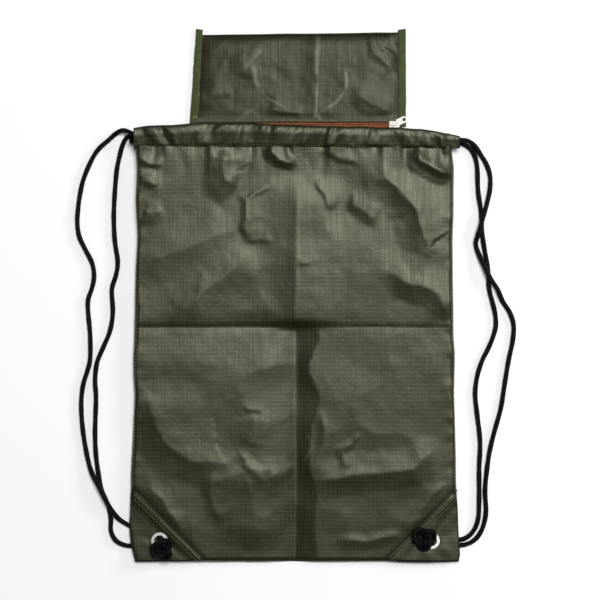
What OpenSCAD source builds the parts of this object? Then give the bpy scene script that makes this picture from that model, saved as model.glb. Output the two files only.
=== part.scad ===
// Drawstring backpack with a zipped stow pouch, laid flat with its front up.
// Millimetres. The origin is on the floor under the middle of the bag and pouch,
// +X to the bag's left when worn, +Y from the bottom fold to the pouch, +Z up.

/* [Bag] */
// Width between the side seams, just under the hem channel
bag_w = 323; // [240:1:420]
// Width between the side seams above the bottom corners
base_w = 332; // [250:1:430]
// Bottom fold to the hem channel's stitching
body_h = 419; // [320:1:520]
// Cloth thickness with its seam
cloth_t = 0.8; // [0.4:0.1:1.5]
// Height of the front panel's flat part above the floor
lay_h = 11.6; // [9:0.1:20]

/* [Hem channel] */
// Width of the flattened channel, stitching to fold
hem_w = 19.4; // [15:0.1:30]
// Length of the channel
hem_l = 324; // [240:1:420]
// Thickness of the flattened channel with its cord
hem_t = 6.2; // [5.8:0.1:9]
// Cloth wall of the channel
hem_wall = 0.6; // [0.3:0.1:1]
// Gap between the front channel and the back one, the bag's mouth
mouth_gap = 4.6; // [4.2:0.1:12]

/* [Bottom corners] */
// Side and bottom length of a corner reinforcement
corner_leg = 75; // [50:1:100]
// Height that the cords lift a corner above the floor
corner_lift = 5.3; // [5:0.1:8]
// Eyelet centre from the side of the bag
eyelet_in = 28.6; // [22:0.1:40]
// Eyelet centre from the bottom fold
eyelet_up = 22.3; // [20:0.1:40]
// Outside diameter of the eyelet's rim
eyelet_d = 17.5; // [15:0.1:22]
// Bore of the eyelet
eyelet_bore = 10; // [9.8:0.1:12]

/* [Cord] */
// Cord diameter
cord_d = 4.8; // [4:0.1:4.8]
// Reach of a knot from its middle
knot_r = 8; // [7:0.1:11]

/* [Stow pouch] */
// Width of the pouch over its bindings
pouch_w = 212; // [150:1:260]
// Height of the pouch above the hem channel
pouch_h = 98; // [70:1:130]
// Distance of the pouch's middle from the bag's middle
pouch_x = 6; // [-20:1:20]
// Height of the pouch's front above the floor
pouch_t = 4.3; // [3.8:0.1:5]
// Width of the tape that binds each side of the pouch
binding_w = 8.2; // [6:0.1:12]
// Length of the binding past the pouch's top fold
binding_tail = 3; // [0:0.1:6]

/* [Zip] */
// Width of the closed coil
coil_w = 4.5; // [4:0.1:6]
// Width of the slider
slider_w = 7; // [6.6:0.1:9]
// Length of the slider
slider_l = 8.4; // [7:0.1:12]
// Slider's place from the pouch's middle, zip closed
slider_x = 93; // [60:0.1:94]
// Width of the pull tab
tab_w = 6.5; // [5:0.1:8]
// Pull tab's hinge to its far hole
tab_l = 11.8; // [10:0.1:20]
// Sideways turn of the pull tab from the line of the zip
tab_turn = 25; // [0:1:40]

/* [Hidden] */
$fn = 48;
touch = 0.01;

// The bag, from the floor up and from the bottom fold to the mouth.
bag_bottom = -270;
hem_bottom = bag_bottom + body_h;
hem_top = hem_bottom + hem_w;
hem_mid = (hem_bottom + hem_top) / 2;
front_z = hem_t + mouth_gap;
bag_side = base_w / 2;
mouth_side = bag_w / 2;
corner_y = bag_bottom + corner_leg;
corner_x = bag_side - corner_leg + 1;
corner_end = bag_side + 1;
slab = 0.4;
seam_w = 1.2;
flank_top = 4.5;
flank_low = 48;

// Bottom corners. The diagonal runs from the side seam to the bottom fold.
diag_angle = atan2(corner_x - bag_side, corner_leg);
ramp = 8;
patch_low = corner_lift + cloth_t;
patch_top = patch_low + cloth_t;
eyelet_x = bag_side - eyelet_in;
eyelet_y = bag_bottom + eyelet_up;
rim_t = 0.7;
washer_t = 0.4;
barrel_t = 0.6;
barrel_gap = 0.2;

// Cords. Two lie side by side in each channel and in each eyelet.
cord_r = cord_d / 2;
cord_sides = 10;
pair = 2.5;
run_low = hem_t / 2;
run_high = front_z + hem_t / 2;
run_l = hem_l / 2;
left_run_y = hem_mid + pair;
right_run_y = hem_mid - pair;
turn_r = (run_high - run_low) / 2;
turn_z = (run_high + run_low) / 2;
exit_x = run_l + 6;
stub_x = 173;
knot_z = patch_top + rim_t + 4.2;
knot_y = eyelet_y - 4;
strand_r = 3.3;

// Stow pouch, hinged on the channel's edge.
pouch_gap = 0.3;
pouch_low = hem_top + pouch_gap;
pouch_end = hem_top + pouch_h;
side_x = pouch_w / 2 - 1;
front_side = side_x - 4;
front_end = pouch_end - 9;
binding_t = 0.8;

// Zip, lying in the pouch's lower edge.
zip_y = pouch_low + 4.2;
zip_z = 3.2;
zip_side = front_side - 1.5;
tape_t = 0.6;
tape_w = 5.75;
wall_t = 0.5;
coil_gap = 1.1;
coil_t = 1.4;
stop_l = 1;
slider_low = 1;
slider_top = 5.4;
plate_t = 1;
flange_t = 1;
slot_t = 1.2;
divider_t = 0.6;
bridge_side = 3;
bridge_post = 0.8;
bridge_w = 1.6;
bridge_low = 6.9;
bridge_top = 7.6;
tab_t = 1.2;
tab_z = slider_top + 0.75;
ring_in = 0.6;
ring_out = 4.2;
ring_side = 1.4;
ring_l = 5.4;
far_hole_d = 3.6;
tab_tip = 3.2;

// Free strands of the cords beside the bag, mouth to bottom corner.
left_outer_route = [
    [-175, 166, 6], [-182, 164, 3.2], [-190, 157, 2.4], [-203, 143, 2.4],
    [-213, 124, 2.4], [-219, 98, 2.4], [-221, 72, 2.4], [-215, 50, 2.4],
    [-205, 28, 2.4], [-206, 8, 2.4], [-211, -12, 2.4], [-208, -40, 2.4],
    [-208, -66, 2.4], [-215, -90, 2.4], [-217, -118, 2.4], [-213, -152, 2.4],
    [-207, -176, 4.6], [-200, -191, 7.4], [-193, -204, 7.8], [-187, -216, 7.4],
    [-181, -224, 3.2], [-175, -230, 2.4]
];
left_inner_route = [
    [-175.8, 160, 2.4], [-178.5, 151, 2.4], [-180, 134, 2.4], [-183, 106, 2.4],
    [-184, 80, 2.4], [-182, 54, 2.4], [-180, 32, 2.4], [-185, 8, 2.4],
    [-185, -17, 2.4], [-190, -42, 2.4], [-199, -64, 2.4], [-203, -90, 2.4],
    [-203, -120, 2.4], [-203, -150, 2.4], [-201, -176, 2.4], [-197, -196, 2.4],
    [-190, -212, 2.4], [-187, -230, 2.4], [-183, -244, 2.4], [-175, -251, 2.4]
];
right_outer_route = [
    [175, 156.5, 6], [182, 152.5, 3], [189, 141, 2.4], [196, 127, 2.4],
    [197.5, 110, 2.4], [193.5, 93, 4.8], [190, 80, 7.4], [186, 66, 7.4],
    [182.5, 54, 2.8], [187, 40, 4.4], [193, 28, 7.4], [198, 16, 7.6],
    [204, 7, 4.6], [211, -8, 2.4], [220, -28, 2.4], [219, -52, 2.4],
    [213, -86, 2.4], [207, -118, 2.4], [199, -146, 2.4], [194, -176, 2.4],
    [193, -220, 2.4], [185, -243, 2.4], [175, -251, 2.4]
];
right_inner_route = [
    [175, 150.5, 2.4], [180, 145, 2.4], [184, 130, 2.4], [185, 104, 2.4],
    [188, 84, 2.4], [189, 64, 2.4], [192, 43, 2.4], [195, 24, 2.4],
    [196.5, 6, 2.4], [202, -16, 2.4], [203, -32, 2.4], [196, -53, 2.4],
    [187, -70, 2.4], [183, -92, 2.4], [183, -114, 2.4], [187, -150, 2.4],
    [186, -180, 2.4], [187, -214, 2.4], [183, -232, 2.4], [175, -242, 2.4]
];

// A whole cord inside the channels, from one mouth round the far end and back.
// side is -1 for the left cord and 1 for the right one.
function turn_points(side, y) = [
    for (a = [75 : -15 : -75]) [
        -side * (run_l + turn_r * cos(a)),
        y,
        turn_z + turn_r * sin(a)
    ]
];
function channel_route(side, y, high_end, low_end) = concat(
    [high_end, [side * exit_x, (high_end[1] + y) / 2, run_high - 3], [side * run_l, y, run_high]],
    [[-side * run_l, y, run_high]],
    turn_points(side, y),
    [[-side * run_l, y, run_low], [side * run_l, y, run_low]],
    [[side * exit_x, (low_end[1] + y) / 2, run_low - 0.4], low_end]
);

// A tube of one diameter along a route. across is a direction that the route never takes.
function unit(v) = v / norm(v);
function heading(route, i) = unit(
    route[min(i + 1, len(route) - 1)] - route[max(i - 1, 0)]
);
function ring(centre, dir, across) =
    let (u = unit(cross(dir, across)), v = cross(u, dir))
    [
        for (k = [0 : cord_sides - 1])
        let (a = 360 * (k + 0.5) / cord_sides)
        centre + cord_r * (cos(a) * u + sin(a) * v)
    ];

module tube(route, across) {
    n = len(route);
    s = cord_sides;
    points = [for (i = [0 : n - 1]) each ring(route[i], heading(route, i), across)];
    first_cap = [for (k = [0 : s - 1]) k];
    last_cap = [for (k = [0 : s - 1]) n * s - 1 - k];
    walls = [
        for (i = [0 : n - 2], k = [0 : s - 1])
        let (a = i * s + k, b = i * s + (k + 1) % s)
        each [[a, a + s, b], [b, a + s, b + s]]
    ];
    polyhedron(points, concat([first_cap, last_cap], walls));
}

module mirrored(side) {
    mirror([side < 0 ? 1 : 0, 0, 0]) children();
}

// ---- Bag ----

module base_outline(inset, open_end) {
    polygon([
        [mouth_side - inset, hem_bottom + open_end],
        [bag_side - inset, corner_y],
        [corner_x - inset / 2, bag_bottom + inset],
        [-corner_x + inset / 2, bag_bottom + inset],
        [-bag_side + inset, corner_y],
        [-mouth_side + inset, hem_bottom + open_end]
    ]);
}

module crown_outline(inset, open_end) {
    top = mouth_side - flank_top - inset;
    low = bag_side - flank_low - inset;
    polygon([
        [top, hem_bottom + open_end],
        [low, corner_y + 30],
        [low - 48, bag_bottom + 55 + inset],
        [-low + 48, bag_bottom + 55 + inset],
        [-low, corner_y + 30],
        [-top, hem_bottom + open_end]
    ]);
}

module panel_form(inset, open_end, low, high) {
    hull() {
        translate([0, 0, low])
            linear_extrude(slab)
                base_outline(inset, open_end);
        translate([0, 0, high - slab])
            linear_extrude(slab)
                crown_outline(inset, open_end);
    }
}

module front_panel() {
    color([0.33, 0.33, 0.26])
        difference() {
            panel_form(0, 0, cloth_t, lay_h);
            panel_form(seam_w, 1, cloth_t - slab, lay_h - cloth_t);
        }
}

module back_panel() {
    color([0.30, 0.30, 0.23])
        linear_extrude(cloth_t)
            base_outline(0, 0);
}

module stadium(low, high, thick) {
    translate([low + thick / 2, 0])
        square([high - low - thick, thick]);
    translate([low + thick / 2, thick / 2])
        circle(d = thick);
    translate([high - thick / 2, thick / 2])
        circle(d = thick);
}

module channel(z) {
    translate([-hem_l / 2, 0, z])
        rotate([90, 0, 90])
            linear_extrude(hem_l)
                difference() {
                    stadium(hem_bottom, hem_top, hem_t);
                    translate([0, hem_wall])
                        stadium(hem_bottom + hem_wall, hem_top - hem_wall, hem_t - 2 * hem_wall);
                }
}

module front_channel() {
    color([0.31, 0.31, 0.24]) channel(front_z);
}

module back_channel() {
    color([0.28, 0.28, 0.21]) channel(0);
}

// ---- Bottom corners ----

module corner_outline() {
    polygon([
        [bag_side, corner_y],
        [corner_x, bag_bottom],
        [corner_end - 7, bag_bottom],
        [corner_end, bag_bottom + 7]
    ]);
}

// profile is drawn across the diagonal: distance into the corner, then height.
module corner_sheet(profile) {
    difference() {
        intersection() {
            linear_extrude(20) corner_outline();
            translate([bag_side, corner_y, 0])
                rotate([0, 0, diag_angle])
                    translate([0, 20, 0])
                        rotate([90, 0, 0])
                            linear_extrude(150)
                                polygon(profile);
        }
        translate([eyelet_x, eyelet_y, -1])
            cylinder(d = eyelet_bore + 2 * (barrel_t + barrel_gap), h = 20);
    }
}

module corner_patch_back(side) {
    color([0.28, 0.28, 0.22])
        mirrored(side)
            corner_sheet([
                [0, 0], [ramp, corner_lift], [80, corner_lift],
                [80, patch_low], [ramp - 0.5, patch_low], [0, cloth_t]
            ]);
}

module corner_patch_front(side) {
    color([0.27, 0.27, 0.21])
        mirrored(side)
            corner_sheet([
                [0, cloth_t], [ramp - 0.5, patch_low], [80, patch_low],
                [80, patch_top], [ramp - 1, patch_top], [0, 2 * cloth_t]
            ]);
}

module corner_patch_back_left() {
    corner_patch_back(-1);
}

module corner_patch_back_right() {
    corner_patch_back(1);
}

module corner_patch_front_left() {
    corner_patch_front(-1);
}

module corner_patch_front_right() {
    corner_patch_front(1);
}

module eyelet(side) {
    bore_r = eyelet_bore / 2;
    color([0.62, 0.62, 0.60])
        translate([side * eyelet_x, eyelet_y, 0])
            rotate_extrude()
                polygon([
                    [bore_r, corner_lift - washer_t],
                    [bore_r + barrel_t, corner_lift - washer_t],
                    [bore_r + barrel_t, patch_top],
                    [eyelet_d / 2, patch_top],
                    [eyelet_d / 2 - 0.5, patch_top + rim_t],
                    [bore_r + 0.5, patch_top + rim_t],
                    [bore_r, patch_top + rim_t - 0.4]
                ]);
}

module eyelet_left() {
    eyelet(-1);
}

module eyelet_right() {
    eyelet(1);
}

module eyelet_washer(side) {
    color([0.55, 0.55, 0.53])
        translate([side * eyelet_x, eyelet_y, corner_lift - washer_t])
            difference() {
                cylinder(d = eyelet_d, h = washer_t);
                translate([0, 0, -1])
                    cylinder(r = eyelet_bore / 2 + barrel_t + barrel_gap / 2, h = washer_t + 2);
            }
}

module eyelet_washer_left() {
    eyelet_washer(-1);
}

module eyelet_washer_right() {
    eyelet_washer(1);
}

// ---- Cords ----

module channel_cord_left() {
    color([0.10, 0.10, 0.10])
        tube(
            channel_route(-1, left_run_y, [-stub_x, 166, 7.2], [-stub_x, left_run_y - 0.2, cord_r]),
            [0, 1, 0]
        );
}

module channel_cord_right() {
    color([0.10, 0.10, 0.10])
        tube(
            channel_route(1, right_run_y, [stub_x, right_run_y - 0.2, 7.2], [stub_x, 151.5, cord_r]),
            [0, 1, 0]
        );
}

// One cord end: under the corner from the side, then up through the eyelet into the knot.
function end_route(side, edge_y, bore_y) = [
    [side * stub_x, edge_y, cord_r],
    [side * (eyelet_x + 8), bore_y + (edge_y - bore_y) * 0.15, cord_r],
    [side * (eyelet_x + 4), bore_y, cord_r],
    [side * (eyelet_x + 1.8), bore_y, cord_r + 0.6],
    [side * (eyelet_x + 0.5), bore_y, cord_r + 2.2],
    [side * eyelet_x, bore_y, cord_r + 4.5],
    [side * eyelet_x, bore_y, knot_z]
];

module corner_cord_left() {
    color([0.10, 0.10, 0.10]) {
        tube(end_route(-1, -232, eyelet_y + pair), [0, 1, 0]);
        tube(end_route(-1, -252.5, eyelet_y - pair), [0, 1, 0]);
    }
}

module corner_cord_right() {
    color([0.10, 0.10, 0.10]) {
        tube(end_route(1, -243.5, eyelet_y + pair), [0, 1, 0]);
        tube(end_route(1, -252.5, eyelet_y - pair), [0, 1, 0]);
    }
}

// An overhand knot drawn tight: one flat turn and one leaning over it.
module knot(side) {
    color([0.07, 0.07, 0.07])
        translate([side * (eyelet_x - 2), knot_y, knot_z]) {
            rotate_extrude()
                translate([knot_r - strand_r + 2, 0])
                    circle(r = strand_r);
            translate([0, 0, 4.4])
                rotate([0, side * 20, 0])
                    rotate_extrude()
                        translate([knot_r - strand_r, 0])
                            circle(r = strand_r);
            translate([0, 0, 1.5])
                sphere(r = knot_r - strand_r + 0.8);
        }
}

module knot_left() {
    knot(-1);
}

module knot_right() {
    knot(1);
}

module left_strap_outer() {
    color([0.11, 0.11, 0.11]) tube(left_outer_route, [0, 0, 1]);
}

module left_strap_inner() {
    color([0.11, 0.11, 0.11]) tube(left_inner_route, [0, 0, 1]);
}

module right_strap_outer() {
    color([0.11, 0.11, 0.11]) tube(right_outer_route, [0, 0, 1]);
}

module right_strap_inner() {
    color([0.11, 0.11, 0.11]) tube(right_inner_route, [0, 0, 1]);
}

// ---- Stow pouch ----

module pouch_form(inset, low, high) {
    start = zip_y + coil_w / 2 + 2.4 - inset;
    hull() {
        translate([-side_x + inset, start, low])
            cube([2 * (side_x - inset), pouch_end - inset - start, slab]);
        translate([-front_side + inset, start, high - slab])
            cube([2 * (front_side - inset), front_end - inset - start, slab]);
    }
}

module pouch_front() {
    color([0.34, 0.34, 0.26])
        translate([pouch_x, 0, 0])
            difference() {
                pouch_form(0, cloth_t, pouch_t);
                pouch_form(cloth_t, cloth_t - slab, pouch_t - cloth_t);
            }
}

module pouch_back() {
    color([0.29, 0.29, 0.22])
        translate([pouch_x - side_x, pouch_low, 0])
            cube([2 * side_x, pouch_end - pouch_low, cloth_t]);
}

// An angle of tape: up the pouch's side edge and in over its front.
module binding(side) {
    color([0.29, 0.34, 0.20])
        translate([pouch_x, 0, 0])
            mirrored(side)
                translate([0, pouch_end + binding_tail, 0])
                    rotate([90, 0, 0])
                        linear_extrude(pouch_h + binding_tail - pouch_gap)
                            polygon([
                                [side_x, 0],
                                [side_x + binding_t, 0],
                                [side_x + binding_t, pouch_t + binding_t],
                                [side_x + binding_t - binding_w, pouch_t + binding_t],
                                [side_x + binding_t - binding_w, pouch_t],
                                [side_x, pouch_t]
                            ]);
}

module binding_left() {
    binding(-1);
}

module binding_right() {
    binding(1);
}

// ---- Zip ----

module zip_tape_upper() {
    color([0.38, 0.23, 0.14])
        translate([pouch_x - zip_side, zip_y + coil_w / 2, zip_z - tape_t / 2])
            cube([2 * zip_side, tape_w, tape_t]);
}

module zip_tape_lower() {
    top = zip_z + tape_t / 2;
    color([0.36, 0.22, 0.13])
        translate([pouch_x - zip_side, 0, 0])
            rotate([90, 0, 90])
                linear_extrude(2 * zip_side)
                    polygon([
                        [pouch_low, cloth_t],
                        [pouch_low + wall_t, cloth_t],
                        [pouch_low + wall_t, top - tape_t],
                        [zip_y - coil_w / 2, top - tape_t],
                        [zip_y - coil_w / 2, top],
                        [pouch_low, top]
                    ]);
}

module zip_coil(side) {
    w = (coil_w - coil_gap) / 2;
    color([0.42, 0.26, 0.16])
        translate([pouch_x - zip_side, zip_y + side * (coil_gap + w) / 2 - w / 2, zip_z - coil_t / 2])
            cube([2 * zip_side - 2 * stop_l, w, coil_t]);
}

module zip_coil_upper() {
    zip_coil(1);
}

module zip_coil_lower() {
    zip_coil(-1);
}

module zip_stop(x) {
    translate([pouch_x + x, zip_y - coil_w / 2, zip_z - coil_t / 2])
        cube([stop_l, coil_w, coil_t]);
}

module zip_stops() {
    color([0.72, 0.71, 0.68]) {
        zip_stop(zip_side - stop_l);
        zip_stop(-zip_side - stop_l);
    }
}

module slider_plate(z) {
    translate([0, 0, z])
        linear_extrude(plate_t)
            polygon([
                [-slider_l / 2, -slider_w / 2 + 1],
                [-slider_l / 2 + 1, -slider_w / 2],
                [slider_l / 2, -slider_w / 2],
                [slider_l / 2, slider_w / 2],
                [-slider_l / 2 + 1, slider_w / 2],
                [-slider_l / 2, slider_w / 2 - 1]
            ]);
}

module flange(side, low, high) {
    translate([-slider_l / 2 + 1, side * (slider_w - flange_t) / 2 - flange_t / 2, low])
        cube([slider_l - 1, flange_t, high - low]);
}

module slider() {
    color([0.85, 0.84, 0.80])
        translate([pouch_x + slider_x, zip_y, 0]) {
            slider_plate(slider_low);
            slider_plate(slider_top - plate_t);
            for (side = [-1, 1]) {
                flange(side, slider_low + plate_t - touch, zip_z - slot_t / 2);
                flange(side, zip_z + slot_t / 2, slider_top - plate_t + touch);
            }
            translate([-1.5, -divider_t / 2, slider_low + plate_t - touch])
                cube([3, divider_t, slider_top - slider_low - 2 * plate_t + 2 * touch]);
            for (x = [-bridge_side, bridge_side - bridge_post])
                translate([x, -bridge_w / 2, slider_top - touch])
                    cube([bridge_post, bridge_w, bridge_top - slider_top]);
            translate([-bridge_side, -bridge_w / 2, bridge_low])
                cube([2 * bridge_side, bridge_w, bridge_top - bridge_low]);
        }
}

module tab_outline() {
    difference() {
        union() {
            translate([0, -tab_w / 2 + 0.4])
                square([ring_l, tab_w - 0.8]);
            rotate(tab_turn)
                translate([ring_l - 1.2, -tab_w / 2])
                    square([tab_l - ring_l + 1.2, tab_w]);
            rotate(tab_turn)
                translate([tab_l, 0])
                    circle(r = tab_tip);
        }
        translate([ring_in - 0.1, -ring_side])
            square([ring_out - ring_in, 2 * ring_side]);
        rotate(tab_turn)
            translate([tab_l, 0])
                circle(d = far_hole_d);
    }
}

module pull_tab() {
    color([0.87, 0.86, 0.82])
        translate([pouch_x + slider_x, zip_y, tab_z]) {
            translate([0, 0, -tab_t / 2])
                linear_extrude(tab_t)
                    tab_outline();
            rotate([90, 0, 0])
                cylinder(d = tab_t, h = tab_w - 0.8, center = true);
        }
}

front_panel();
back_panel();
front_channel();
back_channel();
corner_patch_front_left();
corner_patch_front_right();
corner_patch_back_left();
corner_patch_back_right();
eyelet_left();
eyelet_right();
eyelet_washer_left();
eyelet_washer_right();
channel_cord_left();
channel_cord_right();
corner_cord_left();
corner_cord_right();
knot_left();
knot_right();
left_strap_outer();
left_strap_inner();
right_strap_outer();
right_strap_inner();
pouch_front();
pouch_back();
binding_left();
binding_right();
zip_tape_upper();
zip_tape_lower();
zip_coil_upper();
zip_coil_lower();
zip_stops();
slider();
pull_tab();
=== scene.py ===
"""A drawstring backpack of ripstop cloth with a zipped stow pouch, laid flat on a table."""

import math

import bpy
import numpy as np
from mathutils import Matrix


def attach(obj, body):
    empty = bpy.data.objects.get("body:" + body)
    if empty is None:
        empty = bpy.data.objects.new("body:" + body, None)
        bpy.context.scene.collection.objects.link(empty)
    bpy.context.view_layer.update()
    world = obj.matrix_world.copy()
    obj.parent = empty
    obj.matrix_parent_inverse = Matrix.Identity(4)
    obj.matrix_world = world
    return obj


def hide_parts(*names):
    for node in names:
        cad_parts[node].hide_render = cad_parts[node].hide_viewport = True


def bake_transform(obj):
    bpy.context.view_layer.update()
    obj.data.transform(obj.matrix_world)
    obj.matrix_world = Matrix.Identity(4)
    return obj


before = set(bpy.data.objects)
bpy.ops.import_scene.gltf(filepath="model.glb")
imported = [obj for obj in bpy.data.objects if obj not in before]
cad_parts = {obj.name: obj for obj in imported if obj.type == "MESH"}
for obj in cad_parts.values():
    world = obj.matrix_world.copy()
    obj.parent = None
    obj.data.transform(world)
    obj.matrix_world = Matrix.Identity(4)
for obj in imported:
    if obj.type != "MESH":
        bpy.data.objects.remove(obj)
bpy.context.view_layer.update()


# ---------------------------------------------------------------------------
# Camera, light and table
# The bag is looked at from straight above with a long lens. A big soft light
# stands off to the upper right and a small one low on the right, and the table
# is plain white.
# ---------------------------------------------------------------------------

CAMERA_HEIGHT = 2.0
FRAME_WIDTH = 0.606

camera_data = bpy.data.cameras.new("camera")
camera_data.sensor_width = 36
camera_data.lens = 36 * (CAMERA_HEIGHT - 0.008) / FRAME_WIDTH
camera_data.clip_end = 20
camera = bpy.data.objects.new("camera", camera_data)
camera.location = (0.0045, -0.0045, CAMERA_HEIGHT)
bpy.context.collection.objects.link(camera)
bpy.context.scene.camera = camera
bpy.context.scene.view_settings.view_transform = "Standard"

world = bpy.data.worlds.new("studio")
world.use_nodes = True
world.node_tree.nodes["Background"].inputs["Color"].default_value = (1.0, 1.0, 1.0, 1)
world.node_tree.nodes["Background"].inputs["Strength"].default_value = 0.12
bpy.context.scene.world = world


def area_light(name, place, aim, size, power):
    data = bpy.data.lights.new(name, "AREA")
    data.shape = "SQUARE"
    data.size = size
    data.energy = power
    light = bpy.data.objects.new(name, data)
    light.location = place
    direction = [a - p for a, p in zip(aim, place)]
    length = math.sqrt(sum(d * d for d in direction))
    light.rotation_euler = (
        math.acos(-direction[2] / length),
        0,
        math.atan2(direction[1], direction[0]) - math.pi / 2,
    )
    bpy.context.collection.objects.link(light)


area_light("soft_box", (0.66, 1.05, 4.1), (0, 0, 0), 1.8, 162)
area_light("side_light", (2.2, 0.9, 1.1), (0, 0, 0), 0.7, 22)

table_mesh = bpy.data.meshes.new("table_top")
table_mesh.from_pydata(
    [(-4, -4, -0.0002), (4, -4, -0.0002), (4, 4, -0.0002), (-4, 4, -0.0002)],
    [],
    [(0, 1, 2, 3)],
)
table_top = bpy.data.objects.new("table_top", table_mesh)
bpy.context.collection.objects.link(table_top)
table_material = bpy.data.materials.new("table_white")
table_material.use_nodes = True
table_shader = table_material.node_tree.nodes["Principled BSDF"]
table_shader.inputs["Base Color"].default_value = (0.97, 0.97, 0.97, 1)
table_shader.inputs["Roughness"].default_value = 0.9
table_mesh.materials.append(table_material)


# ---------------------------------------------------------------------------
# Cords
# Two braided black cords, about 5 mm thick. Each runs through the hem channels,
# hangs beside the bag as two strands, and is tied off in a bottom corner.
# ---------------------------------------------------------------------------

CORD_R = 2.4


def curve_through(points, step):
    """Points every step millimetres or so along a smooth curve through the given ones."""
    p = np.array(points, float)
    p = np.vstack([2 * p[0] - p[1], p, 2 * p[-1] - p[-2]])
    found = []
    for i in range(1, len(p) - 2):
        count = max(2, int(np.linalg.norm(p[i + 1] - p[i]) / step))
        for t in np.arange(count) / count:
            found.append(
                0.5
                * (
                    2 * p[i]
                    + (p[i + 1] - p[i - 1]) * t
                    + (2 * p[i - 1] - 5 * p[i] + 4 * p[i + 1] - p[i + 2]) * t**2
                    + (3 * p[i] - p[i - 1] - 3 * p[i + 1] + p[i + 2]) * t**3
                )
            )
    found.append(p[-2])
    return np.array(found)


def mesh_object(name, points_mm, faces, uvs, materials):
    """A smooth-shaded object at the origin. uvs holds one (u, v) for each point of each face."""
    mesh = bpy.data.meshes.new(name)
    mesh.from_pydata((np.asarray(points_mm, float) / 1000).tolist(), [], faces)
    layer = mesh.uv_layers.new(name="cloth")
    layer.data.foreach_set("uv", np.asarray(uvs, np.float32).ravel())
    mesh.polygons.foreach_set("use_smooth", [True] * len(mesh.polygons))
    for material in materials:
        mesh.materials.append(material)
    mesh.update()
    obj = bpy.data.objects.new(name, mesh)
    bpy.context.collection.objects.link(obj)
    return obj


def tube(name, line, radii, sides, material):
    """A closed round tube along a line of points, in millimetres, with a radius at each."""
    line = np.asarray(line, float)
    radii = np.broadcast_to(radii, len(line))
    ahead = np.gradient(line, axis=0)
    ahead /= np.linalg.norm(ahead, axis=1)[:, None]
    side = np.cross(ahead[0], (0.31, 0.17, 0.93))
    side /= np.linalg.norm(side)
    angles = 2 * np.pi * np.arange(sides) / sides
    rings = []
    for centre, forward, radius in zip(line, ahead, radii):
        side = side - forward * side.dot(forward)
        side /= np.linalg.norm(side)
        up = np.cross(forward, side)
        rings.append(
            centre + radius * (np.outer(np.cos(angles), side) + np.outer(np.sin(angles), up))
        )
    count = len(line)
    points = np.vstack(rings + [line[:1], line[-1:]])
    along = np.concatenate([[0], np.cumsum(np.linalg.norm(np.diff(line, axis=0), axis=1))])
    along /= 1000
    faces, uvs = [], []
    for i in range(count - 1):
        for k in range(sides):
            n = (k + 1) % sides
            faces.append((i * sides + k, i * sides + n, (i + 1) * sides + n, (i + 1) * sides + k))
            uvs += [
                (k / sides, along[i]),
                ((k + 1) / sides, along[i]),
                ((k + 1) / sides, along[i + 1]),
                (k / sides, along[i + 1]),
            ]
    for k in range(sides):
        n = (k + 1) % sides
        faces.append((n, k, count * sides))
        uvs += [(0, along[0])] * 3
        last = (count - 1) * sides
        faces.append((last + k, last + n, count * sides + 1))
        uvs += [(0, along[-1])] * 3
    return mesh_object(name, points, faces, uvs, [material])


def node_maker(tree):
    """Returns two short functions: one adds a node, the other a math node."""

    def add(kind, **inputs):
        node = tree.nodes.new(kind)
        for key, value in inputs.items():
            if hasattr(value, "links"):
                tree.links.new(value, node.inputs[key])
            else:
                node.inputs[key].default_value = value
        return node

    def calc(operation, *values):
        node = tree.nodes.new("ShaderNodeMath")
        node.operation = operation
        for place, value in enumerate(values):
            if hasattr(value, "links"):
                tree.links.new(value, node.inputs[place])
            else:
                node.inputs[place].default_value = value
        return node.outputs[0]

    return add, calc


def shader_group(name, inputs, outputs):
    """A node group with float and vector sockets. Returns it with its two end nodes."""
    tree = bpy.data.node_groups.new(name, "ShaderNodeTree")
    for socket, kind, value in inputs:
        made = tree.interface.new_socket(socket, in_out="INPUT", socket_type=kind)
        if value is not None:
            made.default_value = value
    for socket, kind in outputs:
        tree.interface.new_socket(socket, in_out="OUTPUT", socket_type=kind)
    return tree, tree.nodes.new("NodeGroupInput"), tree.nodes.new("NodeGroupOutput")


FLOAT, VECTOR = "NodeSocketFloat", "NodeSocketVector"

braid_tree, braid_in, braid_out = shader_group(
    "braid",
    [("Along", VECTOR, None), ("Strands", FLOAT, 8), ("Pitch", FLOAT, 0.005)],
    [("Height", FLOAT), ("Shade", FLOAT)],
)
add, calc = node_maker(braid_tree)
parts = add("ShaderNodeSeparateXYZ", Vector=braid_in.outputs["Along"])
around = calc("MULTIPLY", parts.outputs["X"], braid_in.outputs["Strands"])
length = calc("DIVIDE", parts.outputs["Y"], braid_in.outputs["Pitch"])
right_hand = calc("SINE", calc("MULTIPLY", calc("ADD", around, length), 6.2832))
left_hand = calc("SINE", calc("MULTIPLY", calc("SUBTRACT", around, length), 6.2832))
weave = calc("MAXIMUM", right_hand, left_hand)
braid_tree.links.new(calc("MULTIPLY_ADD", weave, 0.5, 0.5), braid_out.inputs["Height"])
fuzz = add(
    "ShaderNodeTexNoise", Vector=braid_in.outputs["Along"], Scale=900.0, Detail=2.0
)
shade = calc("MULTIPLY_ADD", weave, 0.22, calc("MULTIPLY_ADD", fuzz.outputs["Fac"], 0.5, 0.5))
braid_tree.links.new(shade, braid_out.inputs["Shade"])


def principled(name, roughness, specular=0.5, sheen=0.0, metallic=0.0):
    """A material with nodes: its tree, its shader and the two node functions."""
    material = bpy.data.materials.new(name)
    material.use_nodes = True
    tree = material.node_tree
    shader = tree.nodes["Principled BSDF"]
    shader.inputs["Roughness"].default_value = roughness
    shader.inputs["Specular IOR Level"].default_value = specular
    shader.inputs["Sheen Weight"].default_value = sheen
    shader.inputs["Metallic"].default_value = metallic
    return (material, tree, shader) + node_maker(tree)


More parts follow.
